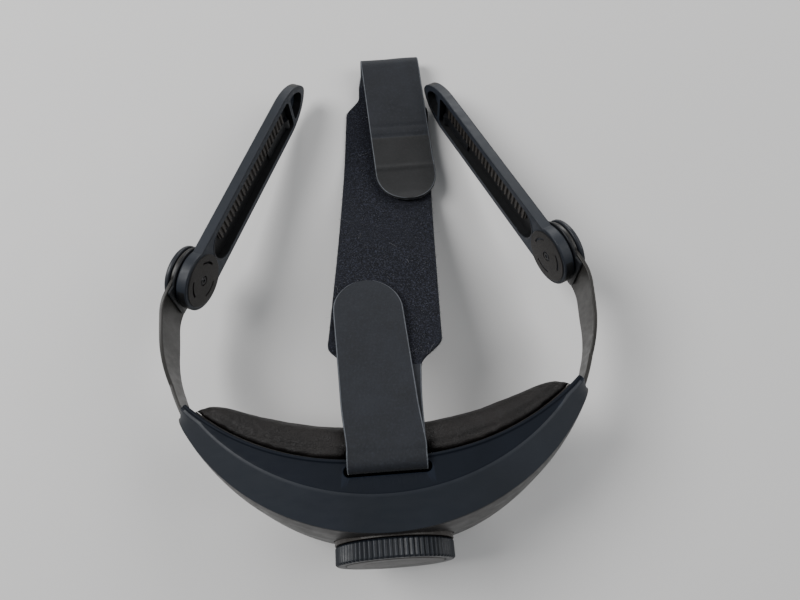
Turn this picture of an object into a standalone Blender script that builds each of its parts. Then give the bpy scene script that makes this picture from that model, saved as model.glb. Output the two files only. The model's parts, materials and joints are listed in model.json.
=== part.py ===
"""Head strap for a VR headset, as an assembly of separate parts.

A padded rear cradle holds a knurled dial. The dial's pinion draws two geared bands into the
cradle. Each band ends in a hub, on which a side arm pivots, and a soft top strap is looped
through a slot in the cradle's deck.

Lengths in the constants and functions are millimetres, and MM turns them into metres.
Head frame: the origin is on the deck at the strap slot, +X right, +Y forward, +Z up.
Floor frame: the same origin, raised by DECK_HEIGHT, with the head frame pitched down by TILT,
because the object rests on its pad and on the tips of its arms.
"""
import math

import bmesh
import bpy
from mathutils import Matrix, Vector

MM = 0.001
GAP = 0.3

# ---- driving dimensions, mm -------------------------------------------------------------
TILT = math.radians(13.97)
DECK_HEIGHT = 69.3

TRACK_CENTRE_Y = 84.5        # centre of the cradle's curve and of the bands' track
TRACK_RADIUS = 107.0         # mid-surface of the sliding bands
BAND_THICK = 1.8
SHELL_RADIUS = 110.0         # outer edge of the cradle's slope band
SLOPE_DROP = 8.6             # height of the slope band
CRADLE_DEPTH = 70.0          # deck to bottom edge, at the middle
CRADLE_END_DEPTH = 35.0      # the same at both ends
CRADLE_ANGLE = 61.0          # half angle of the cradle, degrees
WALL = 1.8

SLOT_HALF_WIDTH = 19.0
SLOT_BACK, SLOT_FRONT = -3.0, 1.6

DIAL_HEIGHT = -39.0
DIAL_BACK_Y = -26.7
DIAL_RADIUS = 27.5
DIAL_DEPTH = 8.3
KNURLS = 72
KNURL_DEPTH = 0.8

PINION_TEETH = 12
PINION_PITCH_RADIUS = 8.0
TOOTH_PITCH = 2 * math.pi * PINION_PITCH_RADIUS / PINION_TEETH

BAND_TOP, BAND_BOTTOM = -9.2, -29.0
ARM_HEADING = 113.0          # direction of the right arm, degrees from +X
# Right band from the middle of the back to its hub. A curved stretch is its radius and its
# direction at the end, in degrees from +X; a straight one is None and its length.
BAND_PATH = [(TRACK_RADIUS, 69.0), (None, 3.0), (58.0, 90.0), (None, 12.0),
             (25.0, ARM_HEADING), (None, 16.0)]
HUB_HEIGHT = -6.0
EYE_RADIUS = 15.0

ARM_LENGTH = 135.0
ARM_HALF_HEIGHT = 13.3
ARM_HUB_RADIUS = 16.0
ARM_OUTER, ARM_INNER = -2.7, -8.7        # faces of the sleeve, outward from the band
ARM_RAISE = {"left": 2.9, "right": 0.0}  # degrees the arm's tip is swung up at rest
RIB_PITCH = 3.5
RIB_COUNT = 24

STRAP_THICK = 1.6
TAIL_HALF_WIDTH = 17.5
WIDE_REAR, WIDE_FRONT = 27.8, 25.0       # half widths
SHOULDER_REAR, SHOULDER_FRONT = (45.0, 58.0), (208.0, 220.0)
REAR_TAIL_END, FRONT_TAIL_END = 93.0, 146.0
FOLD_CENTRE_Y, FOLD_RADIUS = 235.0, 5.5
STRAP_ON_FLOOR = 0.9


# ---- small helpers ----------------------------------------------------------------------
def clear_scene():
    for item in list(bpy.data.objects):
        bpy.data.objects.remove(item, do_unlink=True)


def empty(name, parent=None, location=(0, 0, 0), turn=(0, 0, 0)):
    item = bpy.data.objects.new(name, None)
    item.empty_display_size = 0.01
    item.location = Vector(location) * MM
    item.rotation_euler = turn
    item.parent = parent
    bpy.context.scene.collection.objects.link(item)
    return item


def look(name, colour, roughness, metallic=0.0):
    material = bpy.data.materials.new(name)
    material.use_nodes = True
    shader = material.node_tree.nodes["Principled BSDF"]
    shader.inputs["Base Color"].default_value = (*colour, 1.0)
    shader.inputs["Roughness"].default_value = roughness
    shader.inputs["Metallic"].default_value = metallic
    material.diffuse_color = (*colour, 1.0)
    return material


def solid(name, points, faces, material, parent, sharp=35.0):
    """Closed mesh from points in mm, with its faces turned outwards."""
    mesh = bpy.data.meshes.new(name)
    mesh.from_pydata([tuple(MM * c for c in p) for p in points], [], faces)
    shape = bmesh.new()
    shape.from_mesh(mesh)
    bmesh.ops.recalc_face_normals(shape, faces=shape.faces)
    shape.to_mesh(mesh)
    shape.free()
    mesh.shade_smooth()
    mesh.set_sharp_from_angle(angle=math.radians(sharp))
    item = bpy.data.objects.new(name, mesh)
    item.parent = parent
    if material is not None:
        mesh.materials.append(material)
    bpy.context.scene.collection.objects.link(item)
    return item


def loft(name, sections, material, parent, ring=False, sharp=35.0):
    """Skin over equal loops of points: capped at both ends, or closed into a ring."""
    count = len(sections[0])
    points = [p for section in sections for p in section]
    faces = []
    for i in range(len(sections) if ring else len(sections) - 1):
        a, b = i * count, (i + 1) % len(sections) * count
        for k in range(count):
            m = (k + 1) % count
            faces.append((a + k, a + m, b + m, b + k))
    if not ring:
        faces.append(tuple(range(count)))
        faces.append(tuple(range(len(points) - count, len(points))))
    return solid(name, points, faces, material, parent, sharp)


def turned(name, profile, material, parent, flip=1, segments=30, rule=None):
    """Round piece about local Y. The profile holds (radius, depth) pairs along -Y * flip.

    A profile that starts and ends on the axis gives a solid piece, any other gives a ring.
    """
    on_axis = profile[0][0] == 0
    rows = profile[1:-1] if on_axis else profile
    sections = []
    for radius, depth in rows:
        row = []
        for k in range(segments):
            angle = 2 * math.pi * k / segments
            r, d = rule(radius, depth, k, angle) if rule else (radius, depth)
            row.append((r * math.cos(angle), -flip * d, r * math.sin(angle)))
        sections.append(row)
    return loft(name, sections, material, parent, ring=not on_axis)


def cut(target, cutter):
    cutter.hide_render = True
    cutter.display_type = "WIRE"
    change = target.modifiers.new(cutter.name, "BOOLEAN")
    change.operation = "DIFFERENCE"
    change.solver = "EXACT"
    change.object = cutter


def ease(t):
    t = min(1.0, max(0.0, t))
    return t * t * (3 - 2 * t)


def through(keys, x):
    """Smooth curve y(x) through sorted (x, y) keys, flat beyond both ends."""
    if x <= keys[0][0]:
        return keys[0][1]
    if x >= keys[-1][0]:
        return keys[-1][1]
    slopes = []
    for i in range(len(keys)):
        a, b = keys[max(i - 1, 0)], keys[min(i + 1, len(keys) - 1)]
        slopes.append((b[1] - a[1]) / (b[0] - a[0]))
    i = max(k for k in range(len(keys) - 1) if keys[k][0] <= x)
    (x0, y0), (x1, y1) = keys[i], keys[i + 1]
    span = x1 - x0
    t = (x - x0) / span
    return ((2 * t**3 - 3 * t**2 + 1) * y0 + (t**3 - 2 * t**2 + t) * span * slopes[i]
            + (3 * t**2 - 2 * t**3) * y1 + (t**3 - t**2) * span * slopes[i + 1])


def spread(start, end, count):
    return [start + (end - start) * k / (count - 1) for k in range(count)]


def arc_points(centre, radius, start, end, count):
    return [(centre[0] + radius * math.cos(math.radians(a)),
             centre[1] + radius * math.sin(math.radians(a))) for a in spread(start, end, count)]


def inset(outline, amount):
    """Outline moved inwards by an amount; it runs counter-clockwise."""
    moved = []
    for i, (x, y) in enumerate(outline):
        before, after = outline[i - 1], outline[(i + 1) % len(outline)]
        along = Vector((after[0] - before[0], after[1] - before[1])).normalized()
        moved.append((x - along.y * amount, y + along.x * amount))
    return moved


def plate(name, outline, levels, material, parent, flip, sharp=35.0):
    """Flat piece in the arm's (along, up) plane; levels hold (inset, outward offset)."""
    sections = [[(u, -flip * d, w) for u, w in inset(outline, amount)] for amount, d in levels]
    return loft(name, sections, material, parent, sharp=sharp)


# ---- cradle -----------------------------------------------------------------------------
def on_track(angle, radius, z):
    """Point of the cradle at an angle (degrees) round the head, from the back."""
    a = math.radians(angle)
    return (radius * math.sin(a), TRACK_CENTRE_Y - radius * math.cos(a), z)


def bead_radius(angle):
    return 80.8 + 16.8 * (abs(angle) / 52.0) ** 1.7


def crease_radius(angle):
    return max(95.5 + 4.6 * (angle / 48.5) ** 2, bead_radius(angle) + 2.2)


def pad_radius(angle):
    return 64.5 + 25.0 * (abs(angle) / 57.0) ** 2.2


def bottom_edge(angle):
    share = ease((abs(angle) - 16.0) / (CRADLE_ANGLE - 16.0))
    return -CRADLE_DEPTH + (CRADLE_DEPTH - CRADLE_END_DEPTH) * share


def end_share(angle, start, end):
    """0 until start, then 0 to 1 along a quarter circle up to end."""
    t = min(1.0, max(0.0, (abs(angle) - start) / (end - start)))
    return 1.0 - math.sqrt(1.0 - t * t)


def sweep_angles(limit, steps, end_zone=0.0, end_steps=0):
    """Angles from -limit to limit, closer together over the rounded zone at each end."""
    middle = spread(-(limit - end_zone), limit - end_zone, steps)
    rise = [limit - end_zone + end_zone * math.sin(math.pi / 2 * (k + 1) / end_steps)
            for k in range(end_steps)]
    return [-a for a in reversed(rise)] + middle + rise


def sweep(name, section, angles, material, parent, sharp=35.0):
    """Solid swept round the cradle; section(angle) gives its (radius, z) loop."""
    loops = [[on_track(a, r, z) for r, z in section(a)] for a in angles]
    return loft(name, loops, material, parent, sharp=sharp)


def housing_section(angle):
    rounding = end_share(angle, CRADLE_ANGLE - 3.5, CRADLE_ANGLE)
    outer = SHELL_RADIUS - 3.0 * rounding
    crease = crease_radius(angle) - 0.6 * rounding
    bead = bead_radius(angle)
    low = -SLOPE_DROP
    return [(outer, low), (outer, low + 0.8), (crease + 0.9, -0.5), (crease - 0.6, 0.0),
            (bead + 1.3, 0.0), (bead + 0.8, 0.7), (bead, 0.7), (bead - 0.5, 0.1),
            (bead - 0.5, -2.4), (bead + 0.7, -2.4), (crease - 0.9, -2.3),
            (outer - 2.0, low)]


def cover_section(angle):
    top, low = -SLOPE_DROP - GAP, bottom_edge(angle)
    height = top - low
    bulge = 2.0 * height / (CRADLE_DEPTH - SLOPE_DROP)
    thin = 1.1 * end_share(angle, CRADLE_ANGLE - 2.0, CRADLE_ANGLE)
    profile = [(0.0, 0.0), (0.12, 0.55), (0.35, 1.0), (0.72, 0.8)]
    outer = [(SHELL_RADIUS + bulge * b - thin, top - height * f) for f, b in profile]
    outer += [(SHELL_RADIUS - 0.3 - thin, top - 0.89 * height), (108.0, low + 1.2), (104.5, low)]
    inner = [(104.2, low + WALL), (106.8, low + WALL + 1.0),
             (SHELL_RADIUS - 0.3 - WALL, top - 0.86 * height)]
    inner += [(SHELL_RADIUS + bulge * b - WALL, top - height * f) for f, b in reversed(profile)]
    lip = bead_radius(angle) + GAP
    return outer + [(lip, low), (lip, low + WALL)] + inner


def carrier_section(angle):
    back, front = bead_radius(angle) + 2.1, bead_radius(angle) + GAP
    low = bottom_edge(angle) + WALL + GAP
    return [(back, -3.6), (back, low), (front, low), (front, -2.7)]


def backer_section(angle):
    back = bead_radius(angle)
    low = bottom_edge(angle) + 4.0
    return [(back, -3.0), (back, low), (back - 1.2, low), (back - 1.2, -3.0)]


PAD_ANGLE = 59.6


def pad_section(angle):
    closing = end_share(angle, PAD_ANGLE - 5.5, PAD_ANGLE)
    back = bead_radius(angle) - 1.5
    front = pad_radius(angle)
    front += (back - 2.5 - front) * closing
    depth = back - front
    top = -1.0 - 5.0 * closing
    low = bottom_edge(angle) + 2.2 + 5.0 * closing
    mid = (top + low) / 2
    return [(back, top), (back - 0.45 * depth, top + 0.3), (front + 0.25 * depth, top - 1.0),
            (front + 0.08 * depth, top - 3.6), (front, top - 9.0), (front, mid),
            (front, low + 9.0), (front + 0.08 * depth, low + 3.8),
            (front + 0.25 * depth, low + 1.0), (back - 0.45 * depth, low - 0.3), (back, low)]


def guide_section(angle):
    inner, outer, foot = 101.2, 103.2, 106.2
    return [(outer, -20.5), (outer, -58.4), (foot, -58.4), (foot, -60.2), (inner, -60.2),
            (inner, -20.5)]


def box_cutter(name, low, high, parent):
    corners = [(x, y, z) for z in (low[2], high[2])
               for x, y in ((low[0], low[1]), (high[0], low[1]), (high[0], high[1]),
                            (low[0], high[1]))]
    return loft(name, [corners[:4], corners[4:]], None, parent)


def slot_cutter(parent):
    middle, radius = (SLOT_BACK + SLOT_FRONT) / 2, (SLOT_FRONT - SLOT_BACK) / 2
    reach = SLOT_HALF_WIDTH - radius
    outline = (arc_points((reach, middle), radius, -90, 90, 7)
               + arc_points((-reach, middle), radius, 90, 270, 7))
    return loft("cut_strap_slot", [[(x, y, z) for x, y in outline] for z in (-6.0, 3.0)],
                None, parent)


def make_cradle(head):
    shell = look("cradle_shell", (0.026, 0.031, 0.044), 0.48)
    housing = sweep("upper_housing", housing_section,
                    sweep_angles(CRADLE_ANGLE, 35, 3.5, 4), shell, head)
    cut(housing, slot_cutter(head))

    cover = sweep("outer_cover", cover_section, sweep_angles(CRADLE_ANGLE, 31, 2.0, 2),
                  look("outer_cover", (0.03, 0.031, 0.036), 0.42), head)
    dial_hole = empty("dial_hole_axis", head, (0, DIAL_BACK_Y, DIAL_HEIGHT))
    hole = turned("cut_dial_hole", [(0, -12), (DIAL_RADIUS + 0.5, -12),
                                    (DIAL_RADIUS + 0.5, 8), (0, 8)], None, dial_hole,
                  segments=48)
    cut(cover, hole)

    carrier = sweep("pad_carrier", carrier_section, sweep_angles(CRADLE_ANGLE - 2.0, 33),
                    look("pad_carrier", (0.02, 0.02, 0.022), 0.55), head)
    backer = sweep("pad_backer", backer_section, sweep_angles(PAD_ANGLE - 1.0, 33),
                   look("pad_backer", (0.018, 0.018, 0.02), 0.6), head)
    pad = sweep("rear_pad", pad_section, sweep_angles(PAD_ANGLE, 27, 5.5, 4),
                look("rear_pad", (0.016, 0.013, 0.013), 0.52), head, sharp=60)
    neck_way = box_cutter("cut_neck_way", (-18.7, SLOT_BACK - 0.3, -6.4), (18.7, 10.0, 2.0), head)
    for item in (carrier, backer, pad):
        cut(item, neck_way)

    guide = sweep("rack_guide", guide_section, sweep_angles(26.0, 15),
                  look("rack_guide", (0.03, 0.03, 0.03), 0.5), head)
    window = turned("cut_guide_window", [(0, -16), (6.0, -16), (6.0, -4), (0, -4)], None,
                    dial_hole, segments=20)
    cut(guide, window)
    make_guide_screws(head, guide)
    for side, word in ((-1, "left"), (1, "right")):
        def exit_section(angle):
            return [(104.4, -8.2), (105.8, -8.2), (105.8, -28.6), (104.4, -28.6)]
        sweep(word + "_exit_guide", exit_section,
              [side * a for a in spread(55.0, 60.6, 4)],
              look(word + "_exit_guide", (0.022, 0.022, 0.024), 0.5), head)


def make_guide_screws(head, guide):
    """Four screws in the rack guide, each along the radius of the cradle."""
    steel = (0.35, 0.35, 0.36)
    head_profile = [(0, -0.2), (1.3, -0.2), (1.3, 1.7), (2.6, 1.7), (2.6, 2.8), (2.2, 3.2),
                    (1.1, 3.2), (1.1, 2.4), (0, 2.4)]
    number = 0
    for angle in (-20.0, 20.0):
        for z in (-25.0, -54.5):
            number += 1
            x, y, _ = on_track(angle, 102.6, 0)
            axis = empty("guide_screw_%d_axis" % number, head, (x, y, z),
                         (0, 0, math.radians(angle + 180)))
            turned("guide_screw_%d" % number, head_profile,
                   look("guide_screw_%d" % number, steel, 0.35, 1.0), axis, segments=12)
            bore = turned("cut_screw_%d" % number, [(0, -3), (1.7, -3), (1.7, 4), (0, 4)], None,
                          axis, segments=10)
            cut(guide, bore)


# ---- dial -------------------------------------------------------------------------------
def gear_outline(teeth, tip, root):
    """One loop round a spur gear, with a tooth centred straight up and straight down."""
    shape = ((-0.275, root), (-0.115, tip), (0.115, tip), (0.275, root))
    loop = []
    for k in range(teeth):
        for offset, radius in shape:
            angle = math.pi / 2 + 2 * math.pi * (k + offset) / teeth
            loop.append((radius * math.cos(angle), radius * math.sin(angle)))
    return loop


def make_dial(head):
    axis = empty("dial_axis", head, (0, DIAL_BACK_Y, DIAL_HEIGHT))
    well = [(5.2, -0.3), (27.6, -0.3), (27.6, -5.0), (25.4, -5.0), (25.4, -2.5), (5.2, -2.5)]
    turned("dial_well", well, look("dial_well", (0.022, 0.022, 0.024), 0.5), axis, segments=36)

    def saw(radius, depth, k, angle):
        return (radius - (1.4 if k % 3 == 0 else 0.5 * (k % 3)) if radius < 20.5 else radius,
                depth)
    turned("ratchet_ring", [(20.2, 0.0), (21.6, 0.0), (21.6, 1.9), (20.2, 1.9)],
           look("ratchet_ring", (0.05, 0.05, 0.05), 0.45), axis, segments=48, rule=saw)

    knob_look = look("dial_knob", (0.02, 0.021, 0.024), 0.4)

    def knurl(radius, depth, k, angle):
        deep = radius > DIAL_RADIUS - 0.7 and k % 2
        return (radius - KNURL_DEPTH if deep else radius, depth)
    turned("dial_knob", [(0, 3.0), (22.0, 3.0), (22.0, 0.0), (DIAL_RADIUS - 1.0, 0.0),
                         (DIAL_RADIUS, 0.7), (DIAL_RADIUS, DIAL_DEPTH - 0.7),
                         (DIAL_RADIUS - 0.9, DIAL_DEPTH), (23.0, DIAL_DEPTH),
                         (23.0, DIAL_DEPTH - 1.1), (0, DIAL_DEPTH - 1.1)],
           knob_look, axis, segments=2 * KNURLS, rule=knurl)
    low, high = DIAL_DEPTH - 0.8, DIAL_DEPTH + 0.2
    turned("dial_face_plate", [(0, low), (22.6, low), (22.6, high - 0.3), (22.2, high),
                               (0, high)],
           look("dial_face_plate", (0.03, 0.03, 0.031), 0.38), axis, segments=40)

    gear = gear_outline(PINION_TEETH, 9.0, 6.7)
    shaft = [(4.8 * math.cos(a), 4.8 * math.sin(a)) for a in
             (math.atan2(z, x) for x, z in gear)]
    rows = [(gear, -6.1), (gear, -2.8), (shaft, -2.8), (shaft, 2.7)]
    loft("drive_gear", [[(x, -d, z) for x, z in loop] for loop, d in rows],
         look("drive_gear", (0.5, 0.5, 0.48), 0.45), axis)

    def lobes(angle):
        lobe = max(0.0, math.cos(angle)) ** 24 + max(0.0, -math.cos(angle)) ** 24
        return 8.0 + 9.6 * lobe
    ring = [2 * math.pi * k / 32 for k in range(32)]
    outer = [(lobes(a) * math.cos(a), lobes(a) * math.sin(a)) for a in ring]
    inner = [(5.1 * math.cos(a), 5.1 * math.sin(a)) for a in ring]
    rows = [(inner, 0.2), (outer, 0.2), (outer, 1.6), (inner, 1.6)]
    loft("ratchet_pawl", [[(x, -d, z) for x, z in loop] for loop, d in rows],
         look("ratchet_pawl", (0.4, 0.4, 0.38), 0.4), axis, ring=True)
    turned("dial_washer", [(2.6, -7.2), (5.6, -7.2), (5.6, -6.4), (2.6, -6.4)],
           look("dial_washer", (0.4, 0.4, 0.4), 0.35, 1.0), axis, segments=16)
    turned("dial_screw", [(0, -6.5), (2.2, -6.5), (2.2, -7.5), (4.4, -7.5), (4.4, -8.9),
                          (3.8, -9.4), (1.4, -9.4), (1.4, -8.4), (0, -8.4)],
           look("dial_screw", (0.4, 0.4, 0.41), 0.3, 1.0), axis, segments=16)


# ---- bands ------------------------------------------------------------------------------
def band_lengths():
    """Length of each stretch of BAND_PATH."""
    heading, lengths = 0.0, []
    for radius, value in BAND_PATH:
        lengths.append(radius * math.radians(value - heading) if radius else value)
        heading = value if radius else heading
    return lengths


HUB_STATION = sum(band_lengths())


def band_point(s):
    """Right band's mid-surface at a length s from the back: (point, outward normal)."""
    point, heading = Vector((0, TRACK_CENTRE_Y - TRACK_RADIUS)), 0.0
    lengths = band_lengths()
    for i, (radius, _) in enumerate(BAND_PATH):
        step = s if i == len(BAND_PATH) - 1 else min(s, lengths[i])
        if radius:
            after = heading + step / radius
            point += radius * Vector((math.sin(after) - math.sin(heading),
                                      math.cos(heading) - math.cos(after)))
            heading = after
        else:
            point += step * Vector((math.cos(heading), math.sin(heading)))
        s -= step
        if s <= 0:
            break
    return point, Vector((math.sin(heading), -math.cos(heading)))


RACK_ROOT = PINION_PITCH_RADIUS + 1.25
RACK_TIP = PINION_PITCH_RADIUS - 0.9
RACK_BACK = PINION_PITCH_RADIUS + 7.0
RACK_START, RACK_TEETH = -12.0, 9


def rack_edge():
    """(s, distance from the dial's axis) along the toothed edge of a rack."""
    edge = [(RACK_START, RACK_ROOT)]
    for k in range(RACK_TEETH):
        middle = (k - 2 + 0.5) * TOOTH_PITCH
        for offset, distance in ((-1.1, RACK_ROOT), (-0.5, RACK_TIP), (0.5, RACK_TIP),
                                 (1.1, RACK_ROOT)):
            edge.append((middle + offset, distance))
    return edge


def band_edges(side):
    """Stations (s, low z, high z) of a band, from its rack tip to the end of its eye."""
    up = -side                       # the left rack runs over the pinion, the right one under
    stations = []
    for s, distance in rack_edge():
        toothed, back = DIAL_HEIGHT + up * distance, DIAL_HEIGHT + up * RACK_BACK
        stations.append((s, min(toothed, back), max(toothed, back)))
    rack_low, rack_high = stations[0][1], stations[0][2]
    first = stations[-1][0] + 2.0
    high = [(38.0, rack_high), (64.0, BAND_TOP)]
    low = [(40.0, rack_low), (66.0, BAND_BOTTOM)]
    if side < 0:
        high[1] = (58.0, BAND_TOP)
    for s in [first] + spread(38.0, 66.0, 8) + spread(78.0, 126.0, 5):
        stations.append((s, through(low, s), through(high, s)))
    middle = [(131.0, (BAND_TOP + BAND_BOTTOM) / 2), (155.0, -12.5), (176.0, -7.2),
              (HUB_STATION, HUB_HEIGHT)]
    half = [(131.0, (BAND_TOP - BAND_BOTTOM) / 2), (155.0, 13.0), (172.0, 12.6),
            (HUB_STATION - 9.0, 12.0)]
    for s in spread(131.0, HUB_STATION - 9.0, 21):
        stations.append((s, through(middle, s) - through(half, s),
                         through(middle, s) + through(half, s)))
    for a in spread(-30.0, 82.0, 11):
        reach = EYE_RADIUS * math.cos(math.radians(a))
        stations.append((HUB_STATION + EYE_RADIUS * math.sin(math.radians(a)),
                         HUB_HEIGHT - reach, HUB_HEIGHT + reach))
    return stations


def make_band(side, word, head):
    """A band with its rack, in the frame of its own track axis."""
    axis = empty(word + "_band_axis", head, (0, TRACK_CENTRE_Y, 0))
    sections = []
    for s, low, high in band_edges(side):
        point, normal = band_point(s)
        inner, outer = (point - normal * BAND_THICK / 2, point + normal * BAND_THICK / 2)
        loop = [(inner, low), (outer, low), (outer, high), (inner, high)]
        sections.append([(side * p.x, p.y - TRACK_CENTRE_Y, z) for p, z in loop])
    band = loft(word + "_band", sections, look(word + "_band", (0.03, 0.031, 0.036), 0.42), axis)
    point, _ = band_point(HUB_STATION)
    heading = math.radians(ARM_HEADING if side > 0 else 180 - ARM_HEADING)
    hub = empty(word + "_hub", axis, (side * point.x, point.y - TRACK_CENTRE_Y, HUB_HEIGHT),
                (0, 0, heading))
    bore = turned("cut_" + word + "_eye", [(0, -4), (4.3, -4), (4.3, 4), (0, 4)], None, hub,
                  segments=24)
    cut(band, bore)

    cap = [(0, 1.3), (14.8, 1.3), (15.5, 1.8), (15.5, 3.3), (14.4, 4.2), (12.5, 4.5),
           (12.1, 4.1), (11.5, 4.1), (11.2, 4.6), (6.8, 4.7), (6.5, 4.3), (5.9, 4.3),
           (5.6, 4.8), (0, 4.8)]
    turned(word + "_hub_cap", cap, look(word + "_hub_cap", (0.024, 0.027, 0.035), 0.45), hub,
           flip=side)
    collar = (arc_points((0, 0), 16.3, -137, 137, 23)
              + [(-16.0, 11.1), (-16.8, 10.2), (-16.8, -10.2), (-16.0, -11.1)])
    collar_plate = plate(word + "_hub_collar", collar, [(0, -1.2), (0, -2.1), (0.3, -2.4)],
                         look(word + "_hub_collar", (0.012, 0.013, 0.015), 0.5), hub, side)
    cut(collar_plate, bore)
    turned(word + "_pivot_pin", [(0, 1.0), (4.0, 1.0), (4.0, -6.5), (3.6, -6.9), (0, -6.9)],
           look(word + "_pivot_pin", (0.4, 0.4, 0.41), 0.35, 1.0), hub, flip=side, segments=20)
    return hub


# ---- arms -------------------------------------------------------------------------------
TIP_START = 110.0


def arm_outline():
    """Sleeve seen from the side: round hub, straight edges, pointed round tip."""
    join = math.degrees(math.asin(ARM_HALF_HEIGHT / ARM_HUB_RADIUS))
    outline = arc_points((0, 0), ARM_HUB_RADIUS, join, 360 - join, 19)
    reach = ARM_LENGTH - TIP_START
    for angle in spread(-90, 90, 15):
        a = math.radians(angle)
        height = ARM_HALF_HEIGHT * abs(math.sin(a)) ** 1.25 * (1 if angle > 0 else -1)
        outline.append((TIP_START + reach * math.cos(a), height))
    return outline


def recess_outline():
    """Open channel of the sleeve: a U end at the hub, squared with small radii at the bar."""
    half, start, end, corner = 9.7, 15.0, 115.0, 2.5
    return (arc_points((start + half, 0), half, 90, 270, 13)
            + arc_points((end - corner, corner - half), corner, -90, 0, 4)
            + arc_points((end - corner, half - corner), corner, 0, 90, 4))


def ribs(side):
    """Comb outline in the (along, outward) plane: a base with RIB_COUNT ribs."""
    first, base, face, crest = 25.5, -4.9, -5.5, -6.5
    comb = []
    for k in range(RIB_COUNT):
        u = first + 0.8 + k * RIB_PITCH
        comb += [(u, face), (u + 0.3, crest), (u + 1.7, crest), (u + 2.0, face)]
    last = comb[-1][0] + 0.8
    return [(first, base), (first, face)] + comb + [(last, face), (last, base)]


def bar_shape(name, outline, low, high, material, parent, side):
    """Outline in the (along, outward) plane, extruded between two heights."""
    rows = [[(u, -side * d, w) for u, d in outline] for w in (low, high)]
    return loft(name, rows, material, parent)


def make_arm(side, word, hub):
    axis = empty(word + "_arm_axis", hub, turn=(0, -math.radians(ARM_RAISE[word]), 0))
    grey = (0.03, 0.034, 0.043)
    sleeve = plate(word + "_arm_sleeve", arm_outline(),
                   [(1.7, ARM_OUTER), (0.5, ARM_OUTER - 0.5), (0, ARM_OUTER - 1.5),
                    (0, ARM_INNER + 0.6), (0.5, ARM_INNER)],
                   look(word + "_arm_sleeve", grey, 0.47), axis, side)
    channel = plate("cut_%s_channel" % word, recess_outline(), [(0, -10), (0, -4.6)], None,
                    axis, side)
    pocket = [(117.4, -8.4), (123.5, -7.2), (128.0, -4.2), (130.6, 0), (128.0, 4.2),
              (123.5, 7.2), (117.4, 8.4)]
    pocket_cut = plate("cut_%s_pocket" % word, pocket, [(0, -10), (0, -4.0)], None, axis, side)
    hub_cut = turned("cut_%s_hub" % word,
                     [(0, -10), (13.2, -10), (13.2, -7.7), (4.3, -7.7), (4.3, -3.9),
                      (8.4, -3.9), (8.4, -2.0), (0, -2.0)], None, axis, flip=side, segments=30)
    for cutter in (channel, pocket_cut, hub_cut):
        cut(sleeve, cutter)

    bar_shape(word + "_rib_insert", ribs(side), -1.6, 8.9,
              look(word + "_rib_insert", (0.035, 0.033, 0.032), 0.5), axis, side)
    tongue = [(86.0, -4.9), (113.4, -4.9), (113.4, -5.8), (112.2, -7.6), (110.4, -7.6),
              (108.8, -5.8), (86.0, -5.7)]
    bar_shape(word + "_latch_spring", tongue, -8.6, -2.2,
              look(word + "_latch_spring", (0.025, 0.026, 0.03), 0.4), axis, side)

    disc = turned(word + "_hub_plate", [(2.7, -8.0), (12.8, -8.0), (12.8, -8.8),
                                        (12.4, -9.1), (2.7, -9.1)],
                  look(word + "_hub_plate", (0.045, 0.043, 0.042), 0.4), axis, flip=side)
    for number, middle in enumerate((30, 150, 270)):
        slot = (arc_points((0, 0), 10.5, middle - 28, middle + 28, 8)
                + arc_points((0, 0), 9.3, middle + 28, middle - 28, 8))
        cut(disc, plate("cut_%s_arc_%d" % (word, number), slot, [(0, -10), (0, -7)], None,
                        axis, side))
    turned(word + "_pivot_screw",
           [(0, -7.2), (1.2, -7.2), (1.2, -8.0), (2.3, -8.0), (2.3, -8.8), (1.9, -9.1),
            (0.9, -9.1), (0.9, -8.5), (0, -8.5)],
           look(word + "_pivot_screw", (0.4, 0.4, 0.41), 0.3, 1.0), axis, flip=side,
           segments=18)

    def wave(radius, depth, k, angle):
        return radius, depth + 0.15 * math.cos(3 * angle)
    turned(word + "_wave_washer", [(4.7, -3.0), (7.9, -3.0), (7.9, -3.45), (4.7, -3.45)],
           look(word + "_wave_washer", (0.4, 0.4, 0.4), 0.35, 1.0), axis, flip=side,
           segments=24, rule=wave)


# ---- top strap --------------------------------------------------------------------------
def to_floor(y, z):
    """Side view point of the head frame in the floor frame."""
    return (y * math.cos(TILT) + z * math.sin(TILT),
            -y * math.sin(TILT) + z * math.cos(TILT) + DECK_HEIGHT)


STRAP_LEAVES_PAD = to_floor(17.0, 0.3)
HANG = [STRAP_LEAVES_PAD, (30.0, 60.6), (45.0, 54.0), (60.0, 46.8), (90.0, 32.0),
        (120.0, 18.5), (145.0, 9.0), (165.0, 3.6), (180.0, 1.3), (195.0, STRAP_ON_FLOOR),
        (FOLD_CENTRE_Y, STRAP_ON_FLOOR)]
TAIL_LIFT = [(20.0, 2.5), (50.0, 2.6), (64.0, 3.9), (120.0, 3.9)]
FRONT_TAIL = [(FRONT_TAIL_END, 13.6), (152.0, 11.3), (165.0, 9.7), (180.0, 9.0),
              (200.0, 9.5), (222.0, 11.0), (FOLD_CENTRE_Y, STRAP_ON_FLOOR + 2 * FOLD_RADIUS)]
BAR_WRAP = [(10.0, 2.9), (6.0, 2.7), (2.9, 2.6), (0.4, 1.9), (-0.8, 0.0), (-0.7, -1.9),
            (0.6, -3.3), (2.9, -3.9), (5.1, -3.5), (6.2, -2.1), (7.2, -0.6), (9.5, 0.3),
            (12.5, 0.4)]
FLOOR_YAW = 0.0685           # sideways run of the strap per mm forward
REAR_TAIL_YAW = -0.068


def strap_centre(y):
    """Sideways place of the neck and of the wide part."""
    return FLOOR_YAW * max(0.0, y - 26.0) * ease((y - 15.0) / 30.0)


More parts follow.
